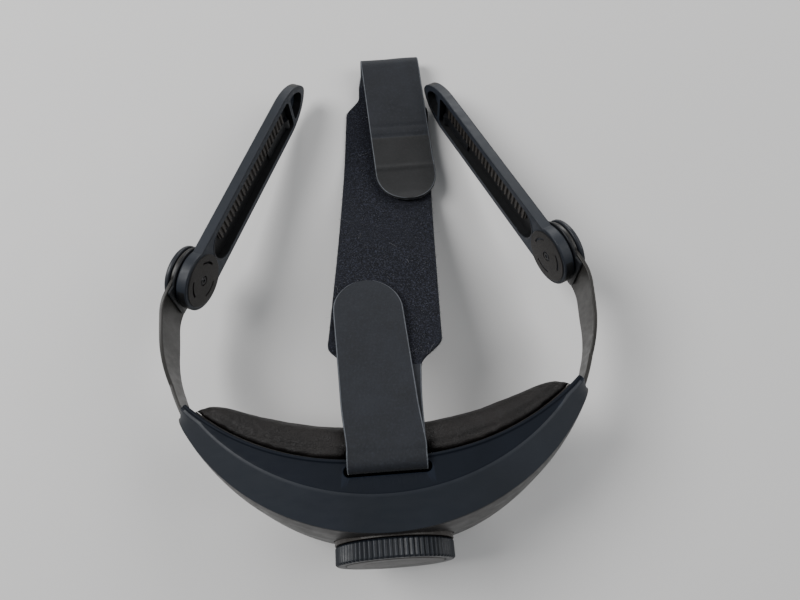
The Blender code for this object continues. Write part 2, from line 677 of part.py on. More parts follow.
def wide_half(y):
    rear, front = SHOULDER_REAR, SHOULDER_FRONT
    if y < rear[1]:
        return TAIL_HALF_WIDTH + (WIDE_REAR - TAIL_HALF_WIDTH) * ease(
            (y - rear[0]) / (rear[1] - rear[0]))
    if y > front[0]:
        return TAIL_HALF_WIDTH + (WIDE_FRONT - TAIL_HALF_WIDTH) * ease(
            (front[1] - y) / (front[1] - front[0]))
    return WIDE_REAR + (WIDE_FRONT - WIDE_REAR) * (y - rear[1]) / (front[0] - rear[1])


def round_end(sign, tip):
    """(y, half width) of a tail's round end; sign is +1 where the tail points forward."""
    middle = tip - sign * TAIL_HALF_WIDTH
    return [(middle + sign * TAIL_HALF_WIDTH * math.sin(math.radians(a)),
             TAIL_HALF_WIDTH * math.cos(math.radians(a))) for a in (83, 72, 60, 45, 30, 15, 0)]


def strap_stations():
    """Stations (x, y, z, half width) from the rear tail's end to the front tail's end."""
    stations = []
    for y, half in round_end(1, REAR_TAIL_END) + [(y, TAIL_HALF_WIDTH)
                                                  for y in (66.0, 56.0, 45.0, 35.0, 25.0)]:
        stations.append((REAR_TAIL_YAW * y, y, through(HANG, y) + through(TAIL_LIFT, y), half))
    for y, z in BAR_WRAP:
        stations.append((0.0, *to_floor(y, z), TAIL_HALF_WIDTH))
    for y in (STRAP_LEAVES_PAD[0], 24.0, 32.0, 40.0, 45.0, 48.0, 50.5, 53.0, 55.5, 58.0, 68.0,
              80.0, 90.0, 105.0, 120.0, 135.0, 150.0, 162.0, 175.0, 190.0, 200.0, 208.0, 211.0,
              214.0, 217.0, 220.0, 228.0):
        stations.append((strap_centre(y), y, through(HANG, y), wide_half(y)))
    for a in spread(-90, 90, 9):
        turn = math.radians(a)
        stations.append((strap_centre(FOLD_CENTRE_Y) + 1.4 + a / 180,
                         FOLD_CENTRE_Y + FOLD_RADIUS * math.cos(turn),
                         STRAP_ON_FLOOR + FOLD_RADIUS * (1 + math.sin(turn)),
                         TAIL_HALF_WIDTH))
    back = [(y, TAIL_HALF_WIDTH) for y in (222.0, 208.0, 195.0, 182.0, 170.0)]
    for y, half in back + list(reversed(round_end(-1, FRONT_TAIL_END))):
        stations.append((front_tail_x(y), y, through(FRONT_TAIL, y), half))
    return stations


def front_tail_x(y):
    return strap_centre(FOLD_CENTRE_Y) + 1.9 + 5.5 * (FOLD_CENTRE_Y - y) / (
        FOLD_CENTRE_Y - FRONT_TAIL_END)


def ribbon(name, stations, thick, material, parent):
    """Band of cloth through stations (x, y, z, half width), square to its path."""
    sections = []
    for i, (x, y, z, half) in enumerate(stations):
        before, after = stations[max(i - 1, 0)], stations[min(i + 1, len(stations) - 1)]
        along = Vector((after[1] - before[1], after[2] - before[2])).normalized()
        rise = Vector((-along.y, along.x)) * thick / 2
        sections.append([(x - half, y + rise.x, z + rise.y), (x + half, y + rise.x, z + rise.y),
                         (x + half, y - rise.x, z - rise.y), (x - half, y - rise.x, z - rise.y)])
    return loft(name, sections, material, parent, sharp=50)


def make_strap(floor):
    ribbon("top_strap", strap_stations(), STRAP_THICK,
           look("top_strap", (0.012, 0.013, 0.019), 0.95), floor)
    patch_thick, under = 0.9, STRAP_THICK / 2 + GAP + 0.45
    rear = [(REAR_TAIL_YAW * y, y, through(HANG, y) + through(TAIL_LIFT, y) - under * 1.12, 12.0)
            for y in (68.0, 73.0, 78.0, 83.0)]
    front = [(front_tail_x(y), y, through(FRONT_TAIL, y) - under * 1.03, 12.0)
             for y in (156.0, 162.0, 168.0, 174.0)]
    for name, stations in (("hook_patch_rear", rear), ("hook_patch_front", front)):
        ribbon(name, stations, patch_thick, look(name, (0.02, 0.02, 0.022), 0.8), floor)


# ---- assembly ---------------------------------------------------------------------------
def settle(floor):
    """Stand the object on z = 0, with its bounding box centred over the origin."""
    bpy.context.view_layer.update()
    scene_state = bpy.context.evaluated_depsgraph_get()
    low, high = Vector((1e9,) * 3), Vector((-1e9,) * 3)
    for item in bpy.context.scene.objects:
        if item.type != "MESH" or item.hide_render:
            continue
        shape = item.evaluated_get(scene_state)
        for vertex in shape.data.vertices:
            place = shape.matrix_world @ vertex.co
            low = Vector(map(min, low, place))
            high = Vector(map(max, high, place))
    floor.location = floor.location - Vector(((low.x + high.x) / 2, (low.y + high.y) / 2, low.z))
    bpy.context.view_layer.update()


def main():
    clear_scene()
    floor = empty("floor_frame")
    head = empty("head_frame", floor, (0, 0, DECK_HEIGHT), (-TILT, 0, 0))
    make_cradle(head)
    make_dial(head)
    for side, word in ((-1, "left"), (1, "right")):
        make_arm(side, word, make_band(side, word, head))
    make_strap(floor)
    settle(floor)


main()
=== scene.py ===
"""Visual model of the VR headset head strap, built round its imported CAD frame.

Lengths in the constants and shape functions are millimetres, and MM turns them into metres.
Head frame: the origin is on the cradle's deck at the strap slot, +X right, +Y forward, +Z up.
Floor frame: the same origin, with the head frame pitched down by TILT, as the strap rests.
"""

import json
import random
from math import asin, atan2, cos, degrees, exp, hypot, pi, radians, sin, sqrt

import bmesh
import bpy
from mathutils import Matrix, Vector, noise

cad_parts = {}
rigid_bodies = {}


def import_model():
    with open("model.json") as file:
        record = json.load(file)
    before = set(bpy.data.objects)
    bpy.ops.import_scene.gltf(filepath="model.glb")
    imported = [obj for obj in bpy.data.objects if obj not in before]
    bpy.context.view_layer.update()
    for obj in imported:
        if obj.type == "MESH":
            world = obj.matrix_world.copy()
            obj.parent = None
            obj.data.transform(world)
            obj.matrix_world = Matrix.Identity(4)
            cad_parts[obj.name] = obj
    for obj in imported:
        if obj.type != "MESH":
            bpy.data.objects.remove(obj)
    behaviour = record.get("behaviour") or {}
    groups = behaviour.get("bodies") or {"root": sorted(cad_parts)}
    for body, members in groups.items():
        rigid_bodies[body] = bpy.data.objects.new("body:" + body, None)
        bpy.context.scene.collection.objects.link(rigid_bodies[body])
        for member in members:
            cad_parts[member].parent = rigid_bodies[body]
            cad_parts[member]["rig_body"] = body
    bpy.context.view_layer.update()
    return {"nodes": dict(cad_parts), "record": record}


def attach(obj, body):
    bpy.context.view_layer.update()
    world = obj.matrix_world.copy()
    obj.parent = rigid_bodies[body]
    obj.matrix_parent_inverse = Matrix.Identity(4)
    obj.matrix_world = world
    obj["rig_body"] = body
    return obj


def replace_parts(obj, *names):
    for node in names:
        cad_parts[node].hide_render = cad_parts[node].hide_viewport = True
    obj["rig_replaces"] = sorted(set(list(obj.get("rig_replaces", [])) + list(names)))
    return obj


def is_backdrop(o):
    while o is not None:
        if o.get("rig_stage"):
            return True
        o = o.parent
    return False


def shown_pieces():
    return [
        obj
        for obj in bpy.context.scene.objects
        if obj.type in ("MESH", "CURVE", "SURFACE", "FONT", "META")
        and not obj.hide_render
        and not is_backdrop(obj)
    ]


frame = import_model()

MM = 0.001
GAP = 0.3

# ---- driving dimensions, mm ----
TILT = radians(13.97)
DECK_HEIGHT = 69.3
TRACK_CENTRE_Y = 84.5
TRACK_RADIUS = 107.0
BAND_THICK = 1.8
SHELL_RADIUS = 110.0
SLOPE_DROP = 8.6
CRADLE_DEPTH = 70.0
CRADLE_END_DEPTH = 35.0
CRADLE_ANGLE = 61.0
WALL = 1.8

SLOT_HALF_WIDTH = 19.0
SLOT_BACK, SLOT_FRONT = -3.0, 1.6

DIAL_HEIGHT = -39.0
DIAL_BACK_Y = -26.7
DIAL_RADIUS = 27.5
DIAL_DEPTH = 8.3
KNURLS = 72
KNURL_DEPTH = 0.8

PINION_TEETH = 12
PINION_PITCH_RADIUS = 8.0
TOOTH_PITCH = 2 * pi * PINION_PITCH_RADIUS / PINION_TEETH

BAND_TOP, BAND_BOTTOM = -9.2, -29.0
ARM_HEADING = 113.0
BAND_PATH = [(TRACK_RADIUS, 69.0), (None, 3.0), (58.0, 90.0), (None, 12.0),
             (25.0, ARM_HEADING), (None, 16.0)]
HUB_HEIGHT = -6.0
EYE_RADIUS = 15.0

ARM_LENGTH = 135.0
ARM_HALF_HEIGHT = 13.3
ARM_HUB_RADIUS = 16.0
ARM_OUTER, ARM_INNER = -2.7, -8.7
CHANNEL_FLOOR = -4.6
RIB_PITCH = 3.5
RIB_COUNT = 24
ARM_RAISE = {"left": 2.9, "right": 0.0}     # degrees about the hub, as the strap rests

STRAP_THICK = 1.6
TAIL_HALF_WIDTH = 17.5
WIDE_REAR, WIDE_FRONT = 27.8, 25.0
SHOULDER_REAR, SHOULDER_FRONT = (45.0, 58.0), (208.0, 220.0)
REAR_TAIL_END, FRONT_TAIL_END = 93.0, 146.0
FOLD_CENTRE_Y, FOLD_RADIUS = 235.0, 5.5
STRAP_ON_FLOOR = 0.9

HUB_BORE = 4.3
TIP_START = 110.0               # where the arm's straight edges end

FUZZ_COUNT, LINT_COUNT = 5200, 22
FIBRE_RADIUS = 0.035
PAD_CELL = 2.4                  # size of the pad's remeshed faces
PAD_SWELL = 1.4                 # furthest that the cloth simulation may move them
PAD_FRAMES = 20

# The band's track axis is a joint in the frame, and it fixes where both frames start.
joint_place = {j["name"]: Vector(j["pos_m"]) for j in frame["record"]["behaviour"]["joints"]}
FLOOR = Matrix.Translation((0, joint_place["left_band_draw"].y
                            - TRACK_CENTRE_Y * cos(TILT) * MM, 0))
HEAD = FLOOR @ Matrix.Translation((0, 0, DECK_HEIGHT * MM)) @ Matrix.Rotation(-TILT, 4, "X")


def offset(x, y, z):
    return Matrix.Translation(Vector((x, y, z)) * MM)


DIAL = HEAD @ offset(0, DIAL_BACK_Y, DIAL_HEIGHT)


# ---- mesh helpers ----
def ease(t):
    t = min(1.0, max(0.0, t))
    return t * t * (3 - 2 * t)


def spread(start, end, count):
    return [start + (end - start) * k / (count - 1) for k in range(count)]


def through(keys, x):
    """Smooth curve y(x) through sorted (x, y) keys, flat beyond both ends."""
    if x <= keys[0][0]:
        return keys[0][1]
    if x >= keys[-1][0]:
        return keys[-1][1]
    slopes = []
    for i in range(len(keys)):
        a, b = keys[max(i - 1, 0)], keys[min(i + 1, len(keys) - 1)]
        slopes.append((b[1] - a[1]) / (b[0] - a[0]))
    i = max(k for k in range(len(keys) - 1) if keys[k][0] <= x)
    (x0, y0), (x1, y1) = keys[i], keys[i + 1]
    span = x1 - x0
    t = (x - x0) / span
    return ((2 * t**3 - 3 * t**2 + 1) * y0 + (t**3 - 2 * t**2 + t) * span * slopes[i]
            + (3 * t**2 - 2 * t**3) * y1 + (t**3 - t**2) * span * slopes[i + 1])


def arc_points(centre, radius, start, end, count):
    return [(centre[0] + radius * cos(radians(a)),
             centre[1] + radius * sin(radians(a))) for a in spread(start, end, count)]


def rounded(loop, radius, steps=4, closed=True):
    """Loop of 2D points with each corner turned into a small arc of steps + 1 points."""
    result = []
    count = len(loop)
    for i, here in enumerate(loop):
        here = Vector(here)
        if not closed and i in (0, count - 1):
            result.append(tuple(here))
            continue
        before, after = Vector(loop[i - 1]), Vector(loop[(i + 1) % count])
        reach = min(radius, 0.45 * (before - here).length, 0.45 * (after - here).length)
        first = here + (before - here).normalized() * reach
        last = here + (after - here).normalized() * reach
        for k in range(steps + 1):
            t = k / steps
            result.append(tuple(first * (1 - t) ** 2 + here * (2 * t * (1 - t)) + last * t * t))
    return result


def add_object(name, data):
    item = bpy.data.objects.new(name, data)
    bpy.context.scene.collection.objects.link(item)
    return item


def solid(name, place, points, faces, sharp=40.0):
    """Closed mesh from points in mm in the frame that place gives."""
    mesh = bpy.data.meshes.new(name)
    mesh.from_pydata([tuple(place @ (Vector(p) * MM)) for p in points], [], faces)
    shape = bmesh.new()
    shape.from_mesh(mesh)
    bmesh.ops.recalc_face_normals(shape, faces=shape.faces)
    shape.to_mesh(mesh)
    shape.free()
    mesh.shade_smooth()
    mesh.set_sharp_from_angle(angle=radians(sharp))
    return add_object(name, mesh)


def loft(name, place, sections, ring=False, sharp=40.0):
    """Skin over equal loops of points: capped at both ends, or closed into a ring."""
    count = len(sections[0])
    points = [p for section in sections for p in section]
    faces = []
    for i in range(len(sections) if ring else len(sections) - 1):
        a, b = i * count, (i + 1) % len(sections) * count
        for k in range(count):
            m = (k + 1) % count
            faces.append((a + k, a + m, b + m, b + k))
    if not ring:
        faces.append(tuple(range(count)))
        faces.append(tuple(range(len(points) - count, len(points))))
    return solid(name, place, points, faces, sharp)


def turned(name, place, profile, flip=1, segments=96, rule=None, soft=0.25, sharp=40.0):
    """Round piece about local Y, with softened corners, from (radius, depth) pairs."""
    on_axis = profile[0][0] == 0
    rows = rounded(profile, soft, 3, closed=not on_axis)
    if on_axis:
        rows = rows[1:-1]
    sections = []
    for radius, depth in rows:
        row = []
        for k in range(segments):
            angle = 2 * pi * k / segments
            r, d = rule(radius, depth, k) if rule else (radius, depth)
            row.append((r * cos(angle), -flip * d, r * sin(angle)))
        sections.append(row)
    return loft(name, place, sections, ring=not on_axis, sharp=sharp)


def inset(outline, amount):
    """Outline moved inwards by an amount; it runs counter-clockwise."""
    moved = []
    for i, (x, y) in enumerate(outline):
        before, after = outline[i - 1], outline[(i + 1) % len(outline)]
        along = Vector((after[0] - before[0], after[1] - before[1])).normalized()
        moved.append((x - along.y * amount, y + along.x * amount))
    return moved


def plate(name, place, outline, levels, flip, sharp=40.0):
    """Flat piece in the arm's (along, up) plane; levels hold (inset, outward offset)."""
    sections = [[(u, -flip * d, w) for u, w in inset(outline, amount)] for amount, d in levels]
    return loft(name, place, sections, sharp=sharp)


def cut(target, *cutters):
    """Take the cutters out of a mesh for good, and remove them."""
    for cutter in cutters:
        change = target.modifiers.new("cut", "BOOLEAN")
        change.operation = "DIFFERENCE"
        change.solver = "EXACT"
        change.object = cutter
    settle_shape(target)
    for cutter in cutters:
        bpy.data.objects.remove(cutter, do_unlink=True)


def settle_shape(item):
    """Turn an object's modifiers into its mesh."""
    bpy.context.view_layer.update()
    state = bpy.context.evaluated_depsgraph_get()
    mesh = bpy.data.meshes.new_from_object(item.evaluated_get(state))
    item.modifiers.clear()
    item.data = mesh


def even_shading(item, sharp=36.0):
    """Smooth shading that follows the large faces, with edges sharper than an angle kept."""
    item.data.shade_smooth()
    item.data.set_sharp_from_angle(angle=radians(sharp))
    change = item.modifiers.new("normals", "WEIGHTED_NORMAL")
    change.keep_sharp = True
    change.weight = 80
    settle_shape(item)


def bevel_edges(item, width, angle):
    change = item.modifiers.new("edge", "BEVEL")
    change.width = width * MM
    change.segments = 2
    change.limit_method = "ANGLE"
    change.angle_limit = radians(angle)


def soften(item, width, angle=32.0):
    """Bevel the edges sharper than an angle, and shade the rest smooth."""
    bevel_edges(item, width, angle)
    settle_shape(item)
    even_shading(item, 38)


# ---- materials ----
class Paint:
    """A node material under construction: small calls that add and link its nodes."""

    def __init__(self, name):
        self.material = bpy.data.materials.new(name)
        self.material.use_nodes = True
        self.tree = self.material.node_tree
        self.shader = self.tree.nodes["Principled BSDF"]
        self.place = self.add("ShaderNodeTexCoord").outputs["Object"]

    def add(self, kind, **settings):
        node = self.tree.nodes.new(kind)
        for key, value in settings.items():
            setattr(node, key, value)
        return node

    def link(self, output, socket):
        self.tree.links.new(output, socket)

    def noise(self, per_mm, detail=4.0, stretch=None, roughness=0.55):
        node = self.add("ShaderNodeTexNoise")
        node.inputs["Scale"].default_value = per_mm * 1000
        node.inputs["Detail"].default_value = detail
        node.inputs["Roughness"].default_value = roughness
        place = self.place
        if stretch:
            mapping = self.add("ShaderNodeMapping")
            mapping.inputs["Scale"].default_value = stretch
            self.link(place, mapping.inputs["Vector"])
            place = mapping.outputs["Vector"]
        self.link(place, node.inputs["Vector"])
        return node.outputs["Fac"]

    def cells(self, per_mm):
        """Distance to the borders of random cells."""
        node = self.add("ShaderNodeTexVoronoi", feature="DISTANCE_TO_EDGE")
        node.inputs["Scale"].default_value = per_mm * 1000
        self.link(self.place, node.inputs["Vector"])
        return node.outputs["Distance"]

    def lines(self, period_mm, axis):
        node = self.add("ShaderNodeTexWave", wave_type="BANDS", bands_direction=axis)
        node.inputs["Scale"].default_value = pi / (10 * period_mm * MM)
        self.link(self.place, node.inputs["Vector"])
        return node.outputs["Fac"]

    def remap(self, value, low, high, new_low, new_high):
        node = self.add("ShaderNodeMapRange")
        for key, number in zip(("From Min", "From Max", "To Min", "To Max"),
                               (low, high, new_low, new_high)):
            node.inputs[key].default_value = number
        self.link(value, node.inputs["Value"])
        return node.outputs["Result"]

    def mix(self, factor, first, second):
        """Mix two colours; each is a tuple or another colour output."""
        node = self.add("ShaderNodeMix", data_type="RGBA")
        self.link(factor, node.inputs["Factor"])
        for key, value in ((6, first), (7, second)):
            if isinstance(value, tuple):
                node.inputs[key].default_value = (*value, 1.0)
            else:
                self.link(value, node.inputs[key])
        return node.outputs[2]

    def blend(self, value, low, high, first, second, most=1.0):
        """Colour that goes from the first to the second as a value goes from low to high."""
        return self.mix(self.remap(value, low, high, 0.0, most), first, second)

    def product(self, first, second):
        node = self.add("ShaderNodeMath", operation="MULTIPLY")
        self.link(first, node.inputs[0])
        if isinstance(second, float):
            node.inputs[1].default_value = second
        else:
            self.link(second, node.inputs[1])
        return node.outputs[0]

    def worn_edges(self):
        return self.remap(self.add("ShaderNodeNewGeometry").outputs["Pointiness"],
                          0.52, 0.6, 0.0, 1.0)

    def bump(self, *layers):
        """Each layer is (height output, depth in mm)."""
        normal = None
        for height, depth in layers:
            node = self.add("ShaderNodeBump")
            node.inputs["Distance"].default_value = depth * MM
            node.inputs["Strength"].default_value = 1.0
            self.link(height, node.inputs["Height"])
            if normal:
                self.link(normal, node.inputs["Normal"])
            normal = node.outputs["Normal"]
        self.link(normal, self.shader.inputs["Normal"])

    def finish(self, colour, roughness, metallic=0.0, specular=0.5, sheen=0.0):
        """Colour and roughness are linked, and the fixed values go straight on the shader."""
        self.link(colour, self.shader.inputs["Base Color"])
        self.link(roughness, self.shader.inputs["Roughness"])
        self.shader.inputs["Metallic"].default_value = metallic
        self.shader.inputs["Specular IOR Level"].default_value = specular
        self.shader.inputs["Sheen Weight"].default_value = sheen
        self.shader.inputs["Sheen Roughness"].default_value = 0.45
        return self.material


def tinted(colour, share):
    return tuple(min(1.0, c * share) for c in colour)


GRAIN_PERIOD = 0.55
WEAVE_PERIOD, WEAVE_DEPTH = 0.62, 0.06


def moulded(name, colour, roughness, grain=0.03, worn=0.35, specular=0.32):
    """Moulded plastic: spark-eroded grain, handling marks, dust and slightly worn edges."""
    paint = Paint(name)
    base = paint.blend(paint.noise(0.04, 5), 0.3, 0.7, tinted(colour, 0.86),
                       tinted(colour, 1.12))
    base = paint.mix(paint.product(paint.worn_edges(), worn), base, tinted(colour, 2.6))
    dust = paint.noise(0.9, 2, roughness=0.8)
    base = paint.blend(dust, 0.72, 0.8, base, tinted(colour, 2.4), most=0.5)
    marks = paint.noise(0.12, 6, stretch=(1, 3, 1))
    gloss = paint.remap(marks, 0.3, 0.75, roughness - 0.06, roughness + 0.08)
    paint.bump((paint.noise(1 / GRAIN_PERIOD, 3), grain), (paint.noise(0.02, 2), 0.12))
    return paint.finish(base, gloss, specular=specular)


def turned_plastic(name, colour, roughness):
    """Dial face: faint smudges and hairline scratches over a smooth moulding."""
    paint = Paint(name)
    base = paint.blend(paint.noise(0.06, 6), 0.35, 0.7, tinted(colour, 0.9),
                       tinted(colour, 1.25))
    scratch = paint.noise(1.2, 2, stretch=(0.06, 1, 1.6))
    gloss = paint.remap(scratch, 0.35, 0.7, roughness - 0.07, roughness + 0.12)
    paint.bump((scratch, 0.008), (paint.noise(1.1, 3), 0.012))
    return paint.finish(base, gloss, specular=0.2)


def leather(name, colour):
    paint = Paint(name)
    pores = paint.remap(paint.cells(0.75), 0.0, 0.12, 0.0, 1.0)
    fine = paint.remap(paint.cells(1.9), 0.0, 0.2, 0.0, 1.0)
    tone = paint.mix(pores, tinted(colour, 0.45), colour)
    tone = paint.blend(paint.noise(0.05, 5), 0.4, 0.7, tone, tinted(colour, 1.6))
    gloss = paint.remap(paint.noise(0.2, 5), 0.3, 0.7, 0.42, 0.6)
    paint.bump((pores, 0.10), (fine, 0.03), (paint.noise(0.15, 3), 0.06))
    return paint.finish(tone, gloss, specular=0.26)


def loop_fabric(name, colour):
    paint = Paint(name)
    tufts = paint.noise(1.5, 5, roughness=0.7)
    speckle = paint.noise(1.1, 3, roughness=0.85)
    tone = paint.blend(tufts, 0.35, 0.65, tinted(colour, 0.55), tinted(colour, 1.5))
    tone = paint.blend(speckle, 0.50, 0.64, tone, tinted(colour, 7.0))
    tone = paint.blend(paint.noise(0.05, 3), 0.45, 0.65, tone, tinted(colour, 2.2), most=0.4)
    rough = paint.remap(tufts, 0.2, 0.8, 0.85, 1.0)
    paint.bump((tufts, 0.45), (paint.noise(4.0, 3), 0.15))
    return paint.finish(tone, rough, specular=0.1, sheen=0.10)


def webbing(name, colour, sheen=0.08, roughness=0.62):
    """Smooth woven tape: fine ribs along and across, lightly felted."""
    paint = Paint(name)
    weave = paint.product(paint.lines(WEAVE_PERIOD, "X"), paint.lines(WEAVE_PERIOD * 0.8, "Y"))
    felt = paint.noise(1.8, 4, roughness=0.7)
    tone = paint.mix(weave, tinted(colour, 0.7), tinted(colour, 1.25))
    tone = paint.blend(paint.noise(0.06, 4), 0.35, 0.7, tone, tinted(colour, 1.5), most=0.6)
    flecks = paint.noise(0.9, 3, roughness=0.8)
    tone = paint.blend(flecks, 0.5, 0.7, tone, tinted(colour, 1.9), most=0.8)
    rough = paint.remap(felt, 0.3, 0.7, roughness - 0.06, roughness + 0.12)
    paint.bump((weave, WEAVE_DEPTH), (felt, 0.05), (paint.noise(0.07, 2), 0.5))
    return paint.finish(tone, rough, specular=0.25, sheen=sheen)


def steel(name, colour):
    paint = Paint(name)
    brushed = paint.noise(2.0, 3, stretch=(1, 1, 12))
    tone = paint.mix(brushed, tinted(colour, 0.8), tinted(colour, 1.15))
    gloss = paint.remap(brushed, 0.3, 0.7, 0.24, 0.42)
    paint.bump((brushed, 0.01))
    return paint.finish(tone, gloss, metallic=1.0)


def floor_paint(name, colour):
    paint = Paint(name)
    tone = paint.mix(paint.noise(0.004, 3), tinted(colour, 0.98), tinted(colour, 1.02))
    rough = paint.remap(paint.noise(0.05, 3), 0.3, 0.7, 0.75, 0.85)
    paint.bump((paint.noise(0.8, 3), 0.02))
    return paint.finish(tone, rough)


paints = {
    "navy_shell": moulded("navy_shell", (0.0125, 0.0155, 0.0215), 0.50, 0.035),
    # The deck's paint: the shell's navy painted darker, as painted shade on the deck beside the
    # lit slope band.
    "deck_navy_painted_shade": moulded("deck_navy_painted_shade", (0.0045, 0.0065, 0.0110), 0.60, 0.03, specular=0.12),
    "black_cover": moulded("black_cover", (0.0170, 0.0155, 0.0145), 0.42, 0.02),
    "band_black": moulded("band_black", (0.0240, 0.0225, 0.0205), 0.38, 0.015, worn=0.2),
    "hub_navy": moulded("hub_navy", (0.0120, 0.0140, 0.0185), 0.42, 0.03),
    "hub_dark": moulded("hub_dark", (0.0050, 0.0055, 0.0068), 0.42, 0.02),
    # The channel's paint: the sleeve's navy plastic painted near black inside the channel, as
    # painted shade in the recess.
    "channel_painted_shade": moulded("channel_painted_shade", (0.0060, 0.0062, 0.0068), 0.5, 0.03, worn=0.1),
    "inner_plastic": moulded("inner_plastic", (0.0250, 0.0215, 0.0190), 0.45, 0.03),
    "dial_black": moulded("dial_black", (0.0080, 0.0100, 0.0140), 0.44, 0.015, worn=0.5),
    "face_black": turned_plastic("face_black", (0.0210, 0.0190, 0.0180), 0.40),
    "gear_white": moulded("gear_white", (0.5, 0.5, 0.47), 0.45, 0.02, worn=0.0),
    "pad_leather": leather("pad_leather", (0.0062, 0.0050, 0.0046)),
    "loop_fabric": loop_fabric("loop_fabric", (0.0050, 0.0054, 0.0078)),
    "tail_webbing": webbing("tail_webbing", (0.0092, 0.0106, 0.0142)),
    "tail_end": webbing("tail_end", (0.0080, 0.0082, 0.0088), roughness=0.55),
    # The tails' edge paint: a pale line along both edges, a painted highlight.
    "tail_edge_highlight": webbing("tail_edge_highlight", (0.0700, 0.0760, 0.0860), sheen=0.2),
    "hook_tape": loop_fabric("hook_tape", (0.0120, 0.0120, 0.0135)),
    "screw_steel": steel("screw_steel", (0.30, 0.30, 0.31)),
    "screw_black": steel("screw_black", (0.05, 0.05, 0.052)),
    "fuzz": webbing("strap_fibre", (0.030, 0.034, 0.046), sheen=0.3),
    "lint": webbing("lint_fibre", (0.16, 0.16, 0.165), sheen=0.3),
}


def dress(item, *names):
    """Give an object its paints, the first of them on every face."""
    item.data.materials.clear()
    for name in names:
        item.data.materials.append(paints[name])
    return item


def stand_in(item, node, *names):
    """A detailed piece that rides where a CAD node rides and stands for it."""
    dress(item, *names)
    body = frame["nodes"][node]["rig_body"]
    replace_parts(item, node)
    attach(item, body)
    return item


slot_of = {s["node"]: s["material_slot"] for s in frame["record"]["subparts"]}


# ---- cradle ----
def on_track(angle, radius, z):
    a = radians(angle)
    return (radius * sin(a), TRACK_CENTRE_Y - radius * cos(a), z)


def head_polar(local):
    """(angle round the head, radius) of a head-frame point in mm."""
    return (degrees(atan2(local.x, TRACK_CENTRE_Y - local.y)),
            hypot(local.x, TRACK_CENTRE_Y - local.y))


def bead_radius(angle):
    return 80.8 + 16.8 * (abs(angle) / 52.0) ** 1.7


def crease_radius(angle):
    return max(95.5 + 4.6 * (angle / 48.5) ** 2, bead_radius(angle) + 2.2)


def bottom_edge(angle):
    share = ease((abs(angle) - 16.0) / (CRADLE_ANGLE - 16.0))
    return -CRADLE_DEPTH + (CRADLE_DEPTH - CRADLE_END_DEPTH) * share


def end_share(angle, start, end):
    """0 until start, then 0 to 1 along a quarter circle up to end."""
    t = min(1.0, max(0.0, (abs(angle) - start) / (end - start)))
    return 1.0 - sqrt(1.0 - t * t)


def sweep_angles(limit, steps, end_zone, end_steps):
    """Angles from -limit to limit, closer together over the rounded zone at each end."""
    middle = spread(-(limit - end_zone), limit - end_zone, steps)
    rise = [limit - end_zone + end_zone * sin(pi / 2 * (k + 1) / end_steps)
            for k in range(end_steps)]
    return [-a for a in reversed(rise)] + middle + rise


def sweep(name, section, angles, sharp=40.0):
    loops = [[on_track(a, r, z) for r, z in section(a)] for a in angles]
    return loft(name, HEAD, loops, sharp=sharp)


def housing_section(angle):
    rounding = end_share(angle, CRADLE_ANGLE - 3.5, CRADLE_ANGLE)
    outer = SHELL_RADIUS - 3.0 * rounding
    crease = crease_radius(angle) - 0.6 * rounding
    bead = bead_radius(angle)
    low = -SLOPE_DROP
    loop = [(outer, low), (outer, low + 0.8), (crease + 0.9, -0.5), (crease - 0.6, 0.0),
            (bead + 1.3, 0.0), (bead + 0.8, 0.7), (bead, 0.7), (bead - 0.5, 0.1),
            (bead - 0.5, -2.4), (bead + 0.7, -2.4), (crease - 0.9, -2.3),
            (outer - 2.0, low)]
    return rounded(loop, 0.45, 3)


def cover_section(angle):
    top, low = -SLOPE_DROP - GAP, bottom_edge(angle)
    height = top - low
    bulge = 2.0 * height / (CRADLE_DEPTH - SLOPE_DROP)
    thin = 1.1 * end_share(angle, CRADLE_ANGLE - 2.0, CRADLE_ANGLE)
    profile = [(0.0, 0.0), (0.12, 0.55), (0.35, 1.0), (0.72, 0.8)]
    outer = [(SHELL_RADIUS + bulge * b - thin, top - height * f) for f, b in profile]
    outer += [(SHELL_RADIUS - 0.3 - thin, top - 0.89 * height), (108.0, low + 1.2), (104.5, low)]
    inner = [(104.2, low + WALL), (106.8, low + WALL + 1.0),
             (SHELL_RADIUS - 0.3 - WALL, top - 0.86 * height)]
    inner += [(SHELL_RADIUS + bulge * b - WALL, top - height * f) for f, b in reversed(profile)]
    lip = bead_radius(angle) + GAP
    return rounded(outer + [(lip, low), (lip, low + WALL)] + inner, 1.2, 4)


def slot_outline(grow):
    middle, radius = (SLOT_BACK + SLOT_FRONT) / 2, (SLOT_FRONT - SLOT_BACK) / 2 + grow
    reach = SLOT_HALF_WIDTH + grow - radius
    return (arc_points((reach, middle), radius, -90, 90, 13)
            + arc_points((-reach, middle), radius, 90, 270, 13))


def build_cradle():
    deck = sweep("cradle_deck", housing_section, sweep_angles(CRADLE_ANGLE, 121, 3.5, 10))
    levels = [(0.0, -6.0), (0.0, -0.55), (0.12, -0.25), (0.5, 0.0), (0.5, 3.0)]
    slot = loft("slot", HEAD, [[(x, y, z) for x, y in slot_outline(grow)]
                               for grow, z in levels])
    cut(deck, slot)
    even_shading(deck)
    stand_in(deck, "upper_housing", "navy_shell", "deck_navy_painted_shade")
    to_head = HEAD.inverted()
    # Faces inside the crease get the darker copy of the shell paint, as painted shade.
    for face in deck.data.polygons:
        angle, radius = head_polar(to_head @ face.center / MM)
        face.material_index = 1 if radius < crease_radius(angle) - 0.2 else 0

    cover = sweep("cradle_back_cover", cover_section, sweep_angles(CRADLE_ANGLE, 121, 2.0, 6))
    radius = DIAL_RADIUS + 0.5
    cut(cover, turned("hole", DIAL, [(0, -12), (radius, -12), (radius, 8), (0, 8)],
                      segments=144, soft=0))
    soften(cover, 0.35)
    stand_in(cover, "outer_cover", "black_cover")


